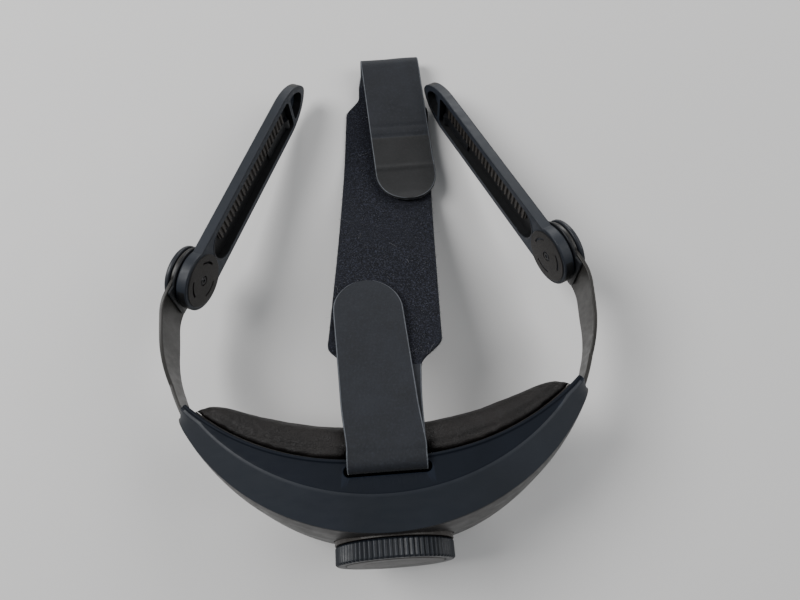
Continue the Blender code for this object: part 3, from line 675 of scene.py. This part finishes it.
# ---- dial ----
def build_dial():
    per_knurl = 6

    def knurl(radius, depth, k):
        phase = (k % per_knurl) / per_knurl
        wave = 0.5 - 0.5 * cos(2 * pi * phase)
        near_rim = ease((radius - (DIAL_RADIUS - 1.6)) / 1.4)
        return radius - KNURL_DEPTH * near_rim * (1 - wave) ** 1.4, depth

    knob = turned("dial_grip", DIAL,
                  [(0, 3.0), (22.0, 3.0), (22.0, 0.0), (DIAL_RADIUS - 1.0, 0.0),
                   (DIAL_RADIUS, 0.7), (DIAL_RADIUS, DIAL_DEPTH - 0.7),
                   (DIAL_RADIUS - 0.9, DIAL_DEPTH), (23.0, DIAL_DEPTH),
                   (23.0, DIAL_DEPTH - 1.1), (0, DIAL_DEPTH - 1.1)],
                  segments=per_knurl * KNURLS, rule=knurl, soft=0.3)
    stand_in(knob, "dial_knob", "dial_black")
    low, high = DIAL_DEPTH - 0.8, DIAL_DEPTH + 0.2
    rings = [(0, low), (22.6, low), (22.6, high - 0.3), (22.2, high), (15.2, high),
             (15.0, high - 0.08), (14.7, high - 0.08), (14.5, high), (0, high)]
    face = turned("dial_cap", DIAL, rings, segments=144, soft=0.12)
    stand_in(face, "dial_face_plate", "face_black")


# ---- bands ----
def band_lengths():
    heading, lengths = 0.0, []
    for radius, value in BAND_PATH:
        lengths.append(radius * radians(value - heading) if radius else value)
        heading = value if radius else heading
    return lengths


HUB_STATION = sum(band_lengths())


def band_point(s):
    """Right band's mid-surface at a length s from the back: (point, outward normal)."""
    point, heading = Vector((0, TRACK_CENTRE_Y - TRACK_RADIUS)), 0.0
    lengths = band_lengths()
    for i, (radius, _) in enumerate(BAND_PATH):
        step = s if i == len(BAND_PATH) - 1 else min(s, lengths[i])
        if radius:
            after = heading + step / radius
            point += radius * Vector((sin(after) - sin(heading),
                                      cos(heading) - cos(after)))
            heading = after
        else:
            point += step * Vector((cos(heading), sin(heading)))
        s -= step
        if s <= 0:
            break
    return point, Vector((sin(heading), -cos(heading)))


RACK_ROOT = PINION_PITCH_RADIUS + 1.25
RACK_TIP = PINION_PITCH_RADIUS - 0.9
RACK_BACK = PINION_PITCH_RADIUS + 7.0
RACK_START, RACK_TEETH = -12.0, 9


def rack_edge():
    edge = [(RACK_START, RACK_ROOT)]
    for k in range(RACK_TEETH):
        middle = (k - 2 + 0.5) * TOOTH_PITCH
        for step, distance in ((-1.1, RACK_ROOT), (-0.5, RACK_TIP), (0.5, RACK_TIP),
                               (1.1, RACK_ROOT)):
            edge.append((middle + step, distance))
    return edge


def band_edges(side):
    """Stations (s, low z, high z) of a band, from its rack tip to the end of its eye."""
    up = -side
    stations = []
    for s, distance in rack_edge():
        toothed, back = DIAL_HEIGHT + up * distance, DIAL_HEIGHT + up * RACK_BACK
        stations.append((s, min(toothed, back), max(toothed, back)))
    rack_low, rack_high = stations[0][1], stations[0][2]
    first = stations[-1][0] + 2.0
    high = [(38.0, rack_high), (64.0, BAND_TOP)]
    low = [(40.0, rack_low), (66.0, BAND_BOTTOM)]
    if side < 0:
        high[1] = (58.0, BAND_TOP)
    for s in [first] + spread(38.0, 66.0, 16) + spread(68.0, 129.0, 32):
        stations.append((s, through(low, s), through(high, s)))
    middle = [(131.0, (BAND_TOP + BAND_BOTTOM) / 2), (155.0, -12.5), (176.0, -7.2),
              (HUB_STATION, HUB_HEIGHT)]
    half = [(131.0, (BAND_TOP - BAND_BOTTOM) / 2), (155.0, 13.0), (172.0, 12.6),
            (HUB_STATION - 9.0, 12.0)]
    for s in spread(131.0, HUB_STATION - 9.0, 42):
        stations.append((s, through(middle, s) - through(half, s),
                         through(middle, s) + through(half, s)))
    for a in spread(-33.0, 84.0, 32):
        reach = EYE_RADIUS * cos(radians(a))
        stations.append((HUB_STATION + EYE_RADIUS * sin(radians(a)),
                         HUB_HEIGHT - reach, HUB_HEIGHT + reach))
    return stations


def band_loop(point, normal, low, high):
    """Cross-section with rounded edges, as 3D points."""
    half = BAND_THICK / 2
    corners = [(-half, low), (half, low), (half, high), (-half, high)]
    return [(*(point + normal * t), z) for t, z in rounded(corners, 0.5, 3)]


def hub_bore(hub):
    profile = [(0, -4), (HUB_BORE, -4), (HUB_BORE, 4), (0, 4)]
    return turned("bore", hub, profile, segments=48, soft=0)


def build_band(side, word):
    """Band with its hub cap and shoulder; returns the hub's place, with X along the arm."""
    sections = []
    for s, low, high in band_edges(side):
        point, normal = band_point(s)
        loop = band_loop(point, normal, low, high)
        sections.append([(side * x, y, z) for x, y, z in loop])
    band = loft(word + "_side_band", HEAD, sections)
    point, _ = band_point(HUB_STATION)
    heading = radians(ARM_HEADING if side > 0 else 180 - ARM_HEADING)
    hub = (HEAD @ offset(side * point.x, point.y, HUB_HEIGHT) @ Matrix.Rotation(heading, 4, "Z"))
    cut(band, hub_bore(hub))
    even_shading(band)
    stand_in(band, word + "_band", "band_black")

    cap = [(0, 1.3), (14.8, 1.3), (15.5, 1.8), (15.5, 3.3), (14.4, 4.2), (12.5, 4.5),
           (12.1, 4.1), (11.5, 4.1), (11.2, 4.6), (6.8, 4.7), (6.5, 4.3), (5.9, 4.3),
           (5.6, 4.8), (0, 4.8)]
    stand_in(turned(word + "_hub_dome", hub, cap, flip=side, soft=0.5), word + "_hub_cap",
             "hub_navy")
    collar = (arc_points((0, 0), 16.3, -137, 137, 65)
              + [(-16.0, 11.1), (-16.8, 10.2), (-16.8, -10.2), (-16.0, -11.1)])
    levels = [(0.2, -1.2), (0, -1.4), (0, -2.0), (0.1, -2.25), (0.3, -2.4)]
    ring = plate(word + "_hub_shoulder", hub, collar, levels, side)
    cut(ring, hub_bore(hub))
    stand_in(ring, word + "_hub_collar", "hub_dark")
    return hub


# ---- arms ----
def arm_outline():
    """Sleeve seen from the side: round hub, straight edges, pointed round tip."""
    join = degrees(asin(ARM_HALF_HEIGHT / ARM_HUB_RADIUS))
    outline = arc_points((0, 0), ARM_HUB_RADIUS, join, 360 - join, 61)
    reach = ARM_LENGTH - TIP_START
    for angle in spread(-90, 90, 61):
        a = radians(angle)
        height = ARM_HALF_HEIGHT * abs(sin(a)) ** 1.25 * (1 if angle > 0 else -1)
        outline.append((TIP_START + reach * cos(a), height))
    return outline


def recess_outline(grow=0.0):
    half, start, end, corner = 9.7 + grow, 15.0 - grow, 115.0 + grow, 2.5
    return (arc_points((start + half, 0), half, 90, 270, 37)
            + arc_points((end - corner, corner - half), corner, -90, 0, 9)
            + arc_points((end - corner, half - corner), corner, 0, 90, 9))


def comb_outline():
    """Ladder of ribs in the (along, outward) plane."""
    first, base, face, crest = 25.5, -4.9, -5.5, -6.5
    comb = []
    for k in range(RIB_COUNT):
        u = first + 0.8 + k * RIB_PITCH
        comb += [(u, face), (u + 0.3, crest), (u + 1.7, crest), (u + 2.0, face)]
    last = comb[-1][0] + 0.8
    return [(first, base), (first, face)] + comb + [(last, face), (last, base)]


def bar_shape(name, place, outline, low, high, side):
    """Outline in the (along, outward) plane, extruded between two heights."""
    rows = [[(u, -side * d, w) for u, d in outline] for w in (low, high)]
    return loft(name, place, rows)


def build_sleeve(side, word, hub):
    round_in = [radians(a) for a in spread(90, 0, 9)]
    levels = [(1.7 - 1.7 * cos(a), ARM_OUTER - 1.5 * (1 - sin(a))) for a in round_in]
    levels += [(0.0, ARM_INNER + 0.7)]
    levels += [(0.6 - 0.6 * cos(a), ARM_INNER + 0.6 - 0.6 * sin(a))
               for a in [radians(x) for x in (0, 22.5, 45, 67.5, 90)]]
    sleeve = plate(word + "_side_arm", hub, arm_outline(), levels, side)
    channel = plate("channel", hub, recess_outline(), [(0, -10), (0, CHANNEL_FLOOR)], side)
    tip = [(117.4, -8.4), (123.5, -7.2), (128.0, -4.2), (130.6, 0), (128.0, 4.2),
           (123.5, 7.2), (117.4, 8.4)]
    pocket = plate("pocket", hub, rounded(tip, 2.0, 4), [(0, -10), (0, -4.0)], side)
    well = turned("well", hub, [(0, -10), (13.2, -10), (13.2, -7.7), (HUB_BORE, -7.7),
                                (HUB_BORE, -3.9), (8.4, -3.9), (8.4, -2.0), (0, -2.0)],
                  flip=side, soft=0)
    cut(sleeve, channel, pocket, well)
    soften(sleeve, 0.35)
    stand_in(sleeve, word + "_arm_sleeve", "navy_shell", "channel_painted_shade")
    # The channel's walls and floor get the darker paint, as painted shade in the recess.
    to_hub = hub.inverted()
    for face in sleeve.data.polygons:
        local = to_hub @ face.center / MM
        depth = -side * local.y
        rim = abs((to_hub.to_3x3() @ face.normal).y) > 0.5
        inner = abs(local.z) < 9.9
        walls = inner and not rim and 14.5 < local.x < 131.5
        floor = inner and -8.0 < depth < CHANNEL_FLOOR + 0.2
        face.material_index = 1 if walls or floor else 0


def build_channel_lip(side, word, hub):
    """Raised bead round the channel's hub end, thinner towards its own ends."""
    start = 24.7
    path = arc_points((start, 0), 10.1, 70, 290, 45)
    rows = []
    for i, (u, w) in enumerate(path):
        outwards = Vector((u - start, w)).normalized()
        share = max(0.06, i / (len(path) - 1))
        size = 0.6 * sin(pi * share) ** 0.4
        rows.append([(u + outwards.x * size * cos(a),
                      -side * (ARM_INNER + 0.2 - 0.75 * size * sin(a)),
                      w + outwards.y * size * cos(a))
                     for a in [2 * pi * k / 12 for k in range(12)]])
    lip = loft(word + "_channel_lip", hub, rows)
    dress(lip, "hub_navy")
    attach(lip, word + "_arm_body")


def build_hub_disc(side, word, hub):
    """Disc on the arm's inner face, with three curved slots."""
    disc = turned(word + "_hub_disc", hub,
                  [(2.7, -8.0), (12.8, -8.0), (12.8, -8.78), (14.2, -8.78), (14.2, -8.95),
                   (13.9, -9.15), (2.7, -9.15)], flip=side, soft=0.15)
    for middle in (30, 150, 270):
        arc = (arc_points((0, 0), 10.5, middle - 28, middle + 28, 24)
               + arc_points((0, 0), 9.3, middle + 28, middle - 28, 24))
        cut(disc, plate("arc", hub, arc, [(0, -10), (0, -7)], side))
    soften(disc, 0.12)
    stand_in(disc, word + "_hub_plate", "face_black")


def build_arm(side, word, hub):
    hub = hub @ Matrix.Rotation(-radians(ARM_RAISE[word]), 4, "Y")
    build_sleeve(side, word, hub)
    build_channel_lip(side, word, hub)
    ladder = bar_shape(word + "_rib_ladder", hub, rounded(comb_outline(), 0.25, 2), -1.6, 8.9,
                       side)
    soften(ladder, 0.15, 60)
    stand_in(ladder, word + "_rib_insert", "inner_plastic")
    tongue = [(86.0, -4.9), (113.4, -4.9), (113.4, -5.8), (112.2, -7.6), (110.4, -7.6),
              (108.8, -5.8), (86.0, -5.7)]
    latch = bar_shape(word + "_latch", hub, rounded(tongue, 0.4, 4), -8.6, -2.2, side)
    soften(latch, 0.2, 60)
    stand_in(latch, word + "_latch_spring", "hub_dark")
    build_hub_disc(side, word, hub)


# ---- top strap ----
def to_floor(y, z):
    """Side view point of the head frame in the floor frame."""
    return (y * cos(TILT) + z * sin(TILT),
            -y * sin(TILT) + z * cos(TILT) + DECK_HEIGHT)


STRAP_LEAVES_PAD = to_floor(17.0, 0.3)
HANG = [STRAP_LEAVES_PAD, (30.0, 60.6), (45.0, 54.0), (60.0, 46.8), (90.0, 32.0),
        (120.0, 18.5), (145.0, 9.0), (165.0, 3.6), (180.0, 1.3), (195.0, STRAP_ON_FLOOR),
        (FOLD_CENTRE_Y, STRAP_ON_FLOOR)]
TAIL_LIFT = [(20.0, 2.5), (50.0, 2.6), (64.0, 3.9), (120.0, 3.9)]
FRONT_TAIL = [(FRONT_TAIL_END, 13.6), (152.0, 11.3), (165.0, 9.7), (180.0, 9.0),
              (200.0, 9.5), (222.0, 11.0), (FOLD_CENTRE_Y, STRAP_ON_FLOOR + 2 * FOLD_RADIUS)]
BAR_WRAP = [(10.0, 2.9), (6.0, 2.7), (2.9, 2.6), (0.4, 1.9), (-0.8, 0.0), (-0.7, -1.9),
            (0.6, -3.3), (2.9, -3.9), (5.1, -3.5), (6.2, -2.1), (7.2, -0.6), (9.5, 0.3),
            (12.5, 0.4)]
FLOOR_YAW = 0.0685
REAR_TAIL_YAW = -0.068
TAIL, WIDE = 0, 1


def strap_centre(y):
    return FLOOR_YAW * max(0.0, y - 26.0) * ease((y - 15.0) / 30.0)


def wide_half(y):
    rear, front = SHOULDER_REAR, SHOULDER_FRONT
    if y < rear[1]:
        return TAIL_HALF_WIDTH + (WIDE_REAR - TAIL_HALF_WIDTH) * ease(
            (y - rear[0]) / (rear[1] - rear[0]))
    if y > front[0]:
        return TAIL_HALF_WIDTH + (WIDE_FRONT - TAIL_HALF_WIDTH) * ease(
            (front[1] - y) / (front[1] - front[0]))
    return WIDE_REAR + (WIDE_FRONT - WIDE_REAR) * (y - rear[1]) / (front[0] - rear[1])


def round_end(sign, tip):
    """(y, half width) of a tail's round end; sign is +1 where the tail points forward."""
    middle = tip - sign * TAIL_HALF_WIDTH
    return [(middle + sign * TAIL_HALF_WIDTH * sin(radians(a)),
             TAIL_HALF_WIDTH * cos(radians(a)))
            for a in (89, 84, 78, 71, 63, 54, 44, 33, 22, 11, 0)]


def front_tail_x(y):
    return strap_centre(FOLD_CENTRE_Y) + 1.9 + 5.5 * (FOLD_CENTRE_Y - y) / (
        FOLD_CENTRE_Y - FRONT_TAIL_END)


def strap_stations():
    """Stations (x, y, z, half width, kind) from the rear tail's end to the front tail's."""
    stations = []
    for y, half in round_end(1, REAR_TAIL_END) + [(y, TAIL_HALF_WIDTH)
                                                  for y in (66.0, 56.0, 45.0, 35.0, 25.0)]:
        stations.append((REAR_TAIL_YAW * y, y, through(HANG, y) + through(TAIL_LIFT, y), half,
                         TAIL))
    for y, z in BAR_WRAP:
        stations.append((0.0, *to_floor(y, z), TAIL_HALF_WIDTH, TAIL))
    for y in [STRAP_LEAVES_PAD[0], 24.0, 32.0, 40.0] + spread(45.0, 60.0, 9) + spread(
            66.0, 204.0, 36) + spread(208.0, 220.0, 7) + [228.0]:
        kind = WIDE if SHOULDER_REAR[0] <= y <= SHOULDER_FRONT[1] else TAIL
        stations.append((strap_centre(y), y, through(HANG, y), wide_half(y), kind))
    for a in spread(-90, 90, 13):
        turn = radians(a)
        stations.append((strap_centre(FOLD_CENTRE_Y) + 1.4 + a / 180,
                         FOLD_CENTRE_Y + FOLD_RADIUS * cos(turn),
                         STRAP_ON_FLOOR + FOLD_RADIUS * (1 + sin(turn)),
                         TAIL_HALF_WIDTH, TAIL))
    back = [(y, TAIL_HALF_WIDTH) for y in (222.0, 208.0, 195.0, 182.0, 170.0)]
    for y, half in back + list(reversed(round_end(-1, FRONT_TAIL_END))):
        stations.append((front_tail_x(y), y, through(FRONT_TAIL, y), half, TAIL))
    return stations


def finer(stations, step):
    """Smooth path through the stations, with a row about every step mm."""
    rows = []
    for i in range(len(stations) - 1):
        quad = [Vector(stations[min(max(k, 0), len(stations) - 1)][:4])
                for k in (i - 1, i, i + 1, i + 2)]
        count = max(1, round((quad[2] - quad[1]).length / step))
        for k in range(count):
            t = k / count
            row = 0.5 * (2 * quad[1] + (quad[2] - quad[0]) * t
                         + (2 * quad[0] - 5 * quad[1] + 4 * quad[2] - quad[3]) * t * t
                         + (3 * quad[1] - quad[0] - 3 * quad[2] + quad[3]) * t**3)
            rows.append((*row, stations[i][4]))
    rows.append(stations[-1])
    return rows


EDGE_STEPS = (0.0, 0.12, 0.30, 0.62, 1.0, 2.0)     # from the strap's edge, mm
COLUMNS = 52


def column_offsets(half):
    """Sideways places of the vertices across the strap, denser at both edges."""
    shrink = min(1.0, half / 5.0)
    left = [-half + e * shrink for e in EDGE_STEPS]
    inner = half - EDGE_STEPS[-1] * shrink
    return left + spread(-inner, inner, COLUMNS)[1:-1] + [-v for v in reversed(left)]


FRONT_LINES = [(194.6, -0.5, 0.7), (188.4, -0.5, 0.7), (167.5, 0.8, 1.3)]
PRESSED_FROM = 188.4          # the front tail's end is smoother from this line to its tip
FRONT_LENGTH = 330.0          # length along the strap at which its front tail has begun


def strap_relief(kind, y, side_offset, half, top, travelled):
    """Height of the cloth's own surface above its plain thickness, mm."""
    edge = half - abs(side_offset)
    if kind == WIDE:
        spot = Vector((side_offset, travelled, 7.0 if top else 3.0))
        fluff = 0.16 * noise.noise(spot * 0.9) + 0.12 * noise.noise(spot * 1.9)
        return fluff * ease(edge / 1.5)
    height = 0.08 if edge <= 0.65 else 0.0
    if not top:
        return height
    for line, rise, wide in FRONT_LINES:
        if y > FRONT_TAIL_END and travelled > FRONT_LENGTH:
            height += rise * exp(-((y - line) / wide) ** 2)
    return height


def strap_loop(rows, i, travelled):
    """Cross-section of the strap at row i: its top from left to right, then its underside."""
    x, y, z, half, kind = rows[i]
    before, after = rows[max(i - 1, 0)], rows[min(i + 1, len(rows) - 1)]
    along = Vector((after[1] - before[1], after[2] - before[2])).normalized()
    rise = Vector((-along.y, along.x))
    offsets = column_offsets(max(half, 0.3))
    loop = []
    for face, order in ((1, offsets), (-1, list(reversed(offsets)))):
        top = (face > 0) == (i < len(rows) // 2)
        for value in order:
            thick = STRAP_THICK / 2 * (0.55 + 0.45 * ease((half - abs(value)) / 0.35))
            wave = 0.35 * noise.noise(Vector((value * 0.05, travelled * 0.03, 1.0)))
            wave *= ease((y - 40.0) / 30.0)
            relief = strap_relief(kind, y, value, half, top, travelled)
            lift = face * (thick + relief) + wave
            height = max(0.02, z + rise.y * lift)
            loop.append((x + value, y + rise.x * lift, height))
    return loop


def paint_strap(strap, rows, lengths, count):
    """Loop fabric on the wide part, and webbing on the tails with a painted highlight line along
    both edges.
    """
    for index, face in enumerate(strap.data.polygons):
        row, column = divmod(index, count)
        if row >= len(rows) - 1:
            face.material_index = 1
            continue
        if rows[row][4] == WIDE:
            continue
        across = column % (count // 2)
        from_edge = min(across, count // 2 - 2 - across)
        smooth = lengths[row] > FRONT_LENGTH and rows[row][1] < PRESSED_FROM
        # Index 2 is the pale line along the tail edges, a painted highlight.
        face.material_index = 2 if from_edge in (1, 2) else 3 if smooth else 1


def build_strap():
    """The strap's object, its length in mm and its area in mm2."""
    rows = finer(strap_stations(), 1.1)
    lengths = [0.0]
    for before, here in zip(rows, rows[1:]):
        lengths.append(lengths[-1] + (Vector(here[:3]) - Vector(before[:3])).length)
    area = 0.0
    for i, row in enumerate(rows):
        share = lengths[min(i + 1, len(rows) - 1)] - lengths[max(i - 1, 0)]
        area += share * row[3]
    sections = [strap_loop(rows, i, lengths[i]) for i in range(len(rows))]
    strap = loft("top_strap_cloth", FLOOR, sections, sharp=75)
    stand_in(strap, "top_strap", "loop_fabric", "tail_webbing", "tail_edge_highlight", "tail_end")
    paint_strap(strap, rows, lengths, len(sections[0]))
    return strap, lengths[-1], area


# ---- loose fibres ----
def fibres(name, strands):
    """One mesh of thin three-sided strands; each strand is a list of points in metres."""
    points, faces = [], []
    for strand in strands:
        start = len(points)
        for i, point in enumerate(strand):
            along = (strand[min(i + 1, len(strand) - 1)] - strand[max(i - 1, 0)]).normalized()
            side = along.cross(Vector((0.31, 0.17, 0.93))).normalized()
            other = along.cross(side)
            for a in [2 * pi * k / 3 for k in range(3)]:
                place = point / MM + (side * cos(a) + other * sin(a)) * FIBRE_RADIUS
                points.append((place.x, place.y, max(place.z, 0.05)))
        for i in range(len(strand) - 1):
            for k in range(3):
                a, b = start + 3 * i + k, start + 3 * i + (k + 1) % 3
                faces.append((a, b, b + 3, a + 3))
        last = start + 3 * (len(strand) - 1)
        faces.append((start, start + 1, start + 2))
        faces.append((last, last + 1, last + 2))
    return solid(name, Matrix.Identity(4), points, faces, sharp=180)


def surface_spots(mesh, chosen, amount, dice):
    """Random (point, normal) places on the chosen four-sided faces of a mesh."""
    spots = []
    for face in dice.choices(chosen, k=amount):
        corners = [mesh.vertices[v].co for v in face.vertices]
        a, b = dice.random(), dice.random()
        point = (corners[0] * (1 - a) + corners[1] * a) * (1 - b) + (
            corners[3] * (1 - a) + corners[2] * a) * b
        spots.append((point, face.normal.copy()))
    return spots


def arched_strand(point, normal, dice):
    """Short loop that stands up from the fabric."""
    turn = dice.uniform(0, 2 * pi)
    flat = Vector((cos(turn), sin(turn), 0))
    flat = (flat - normal * flat.dot(normal)).normalized()
    reach, height = dice.uniform(0.5, 1.5) * MM, dice.uniform(0.15, 0.5) * MM
    return [point + flat * reach * t + normal * height * sin(pi * t)
            for t in (0.0, 0.25, 0.5, 0.75, 1.0)]


def lying_strand(point, normal, dice):
    """Longer curved hair that lies on the fabric."""
    turn = dice.uniform(0, 2 * pi)
    bend = dice.uniform(-1.6, 1.6)
    length = dice.uniform(2.0, 9.0) * MM
    strand, here, steps = [], point + normal * 0.45 * MM, 8
    for _ in range(steps + 1):
        strand.append(here.copy())
        step = Vector((cos(turn), sin(turn), 0))
        step = (step - normal * step.dot(normal)).normalized()
        here = here + step * length / steps
        turn += bend / steps
    return strand


def build_fibres(strap):
    dice = random.Random(7)
    loops = [f for f in strap.data.polygons
             if f.material_index == 0 and len(f.vertices) == 4 and f.area > 0.05 * MM * MM]
    tops = [f for f in loops if f.normal.z > 0.5]
    items = []
    for name, paint, chosen, amount, strand in (
            ("strap_fuzz", "fuzz", loops, FUZZ_COUNT, arched_strand),
            ("strap_lint", "lint", tops, LINT_COUNT, lying_strand)):
        spots = surface_spots(strap.data, chosen, amount, dice)
        item = fibres(name, [strand(point, normal, dice) for point, normal in spots])
        dress(item, paint)
        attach(item, "cradle")
        items.append(item)
    return items


# ---- rear pad ----
def swell(pad, to_head):
    """Cloth pressure from inside, with the side that is sewn to the backing held."""
    back = pad.vertex_groups.new(name="back")
    for v in pad.data.vertices:
        angle, radius = head_polar(to_head @ v.co / MM)
        if radius > bead_radius(angle) - 3.5:
            back.add([v.index], 1.0, "REPLACE")
    cloth = pad.modifiers.new("cloth", "CLOTH")
    cloth.settings.use_pressure = True
    cloth.settings.uniform_pressure_force = 4.0
    cloth.settings.effector_weights.gravity = 0.0
    cloth.settings.vertex_group_mass = "back"
    cloth.settings.quality = 6
    cloth.point_cache.frame_start = 1
    cloth.point_cache.frame_end = PAD_FRAMES
    for step in range(1, PAD_FRAMES + 1):
        bpy.context.scene.frame_set(step)
    settle_shape(pad)
    bpy.context.scene.frame_set(1)


def build_pad():
    """Foam pad in faux leather: the CAD pad's form, swollen by cloth pressure, with a seam."""
    pad = add_object("rear_cushion", frame["nodes"]["rear_pad"].data.copy())
    merge = bmesh.new()
    merge.from_mesh(pad.data)
    bmesh.ops.remove_doubles(merge, verts=merge.verts, dist=0.02 * MM)
    bmesh.ops.recalc_face_normals(merge, faces=merge.faces)
    merge.to_mesh(pad.data)
    merge.free()
    remesh = pad.modifiers.new("remesh", "REMESH")
    remesh.mode = "VOXEL"
    remesh.voxel_size = PAD_CELL * MM
    settle_shape(pad)
    to_head = HEAD.inverted()
    start = [v.co.copy() for v in pad.data.vertices]
    swell(pad, to_head)
    for v, before in zip(pad.data.vertices, start):
        move = v.co - before
        if move.length > PAD_SWELL * MM:
            v.co = before + move.normalized() * PAD_SWELL * MM
        v.co = to_pad(v.co, to_head)
    refine = pad.modifiers.new("smooth", "SUBSURF")
    refine.levels = 1
    refine.render_levels = 1
    settle_shape(pad)
    for v in pad.data.vertices:
        v.co = seam(v.co, to_head)
    pad.data.shade_smooth()
    stand_in(pad, "rear_pad", "pad_leather")


def to_pad(point, to_head):
    """Keep a pad point in front of its backing and under the deck."""
    local = to_head @ point / MM
    angle, radius = head_polar(local)
    most = bead_radius(angle) - 1.5
    if radius > most:
        x, y, z = on_track(angle, most, local.z)
        local = Vector((x, y, z))
    local.z = min(local.z, -0.75)
    return HEAD @ (local * MM)


def seam(point, to_head):
    """Groove of the sewn edge, which follows the pad's outline near its back."""
    local = to_head @ point / MM
    angle, radius = head_polar(local)
    behind = bead_radius(angle) - radius
    deep = 0.9 * exp(-((behind - 5.0) / 1.1) ** 2)
    middle = (bottom_edge(angle) + 1.0) / 2
    towards = 1 if local.z < middle else -1
    pucker = 1 + 0.35 * sin(angle * 2.4) * exp(-((behind - 7.5) / 4) ** 2)
    local.z += towards * deep * pucker
    return HEAD @ (local * MM)


# ---- carried-over CAD parts ----
def carry_over():
    """Smooth the CAD parts that stay, and give them their paints."""
    replaced = set()
    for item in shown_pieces():
        replaced.update(item.get("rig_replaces", []))
    for name, node in frame["nodes"].items():
        if name in replaced:
            continue
        dress(node, "screw_black" if name.endswith("pivot_screw") else slot_of[name])
        weld = node.modifiers.new("weld", "WELD")
        weld.merge_threshold = 0.01 * MM
        bevel_edges(node, 0.12, 40)


# ---- stage ----
def build_stage():
    floor = bpy.data.meshes.new("studio_floor")
    shape = bmesh.new()
    bmesh.ops.create_grid(shape, x_segments=8, y_segments=8, size=3.0)
    shape.to_mesh(floor)
    shape.free()
    floor.materials.append(floor_paint("studio_floor", (0.62, 0.61, 0.60)))
    add_object("studio_floor", floor)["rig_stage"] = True

    for name, place, size, power in (("key", (-0.8, 0.25, 0.95), 0.7, 15.0),
                                     ("fill", (0.9, 0.1, 0.8), 0.9, 6.0),
                                     ("back", (0.25, 1.2, 0.5), 0.6, 8.0)):
        light = bpy.data.lights.new(name, "AREA")
        light.shape = "DISK"
        light.size = size
        light.energy = power
        lamp = add_object(name, light)
        lamp.location = place
        aim = Vector((0, 0, 0.03)) - Vector(place)
        lamp.rotation_euler = aim.to_track_quat("-Z", "Y").to_euler()
    world = bpy.data.worlds.new("studio")
    world.use_nodes = True
    world.node_tree.nodes["Background"].inputs["Color"].default_value = (0.9, 0.95, 1.0, 1.0)
    world.node_tree.nodes["Background"].inputs["Strength"].default_value = 0.32
    bpy.context.scene.world = world


CAMERA_DOWN = radians(76.3)       # below the horizon
CAMERA_ROLL = radians(0.77)
CAMERA_YAW = radians(3.51)
CAMERA_PLACE = (6.6, 6.4, 344.0)       # in the floor frame
FOCAL_PIXELS = 618.4                   # on an image 800 wide


def build_camera():
    turn = Matrix.Rotation(-CAMERA_YAW, 3, "Z")
    right = turn @ Vector((1, 0, 0))
    ahead = turn @ Vector((0, cos(CAMERA_DOWN), -sin(CAMERA_DOWN)))
    down = turn @ Vector((0, -sin(CAMERA_DOWN), -cos(CAMERA_DOWN)))
    c, s = cos(CAMERA_ROLL), sin(CAMERA_ROLL)
    axes = Matrix((c * right + s * down, s * right - c * down, -ahead)).transposed().to_4x4()
    data = bpy.data.cameras.new("view")
    data.sensor_width = 36.0
    data.lens = FOCAL_PIXELS / 800 * 36.0
    data.clip_start = 0.01
    camera = add_object("view", data)
    axes.translation = FLOOR @ (Vector(CAMERA_PLACE) * MM)
    camera.matrix_world = axes
    bpy.context.scene.camera = camera


# ---- assembly ----
build_camera()
build_stage()
build_cradle()
build_dial()
for side, word in ((-1, "left"), (1, "right")):
    build_arm(side, word, build_band(side, word))
strap, strap_length, strap_area = build_strap()
build_fibres(strap)
build_pad()
carry_over()
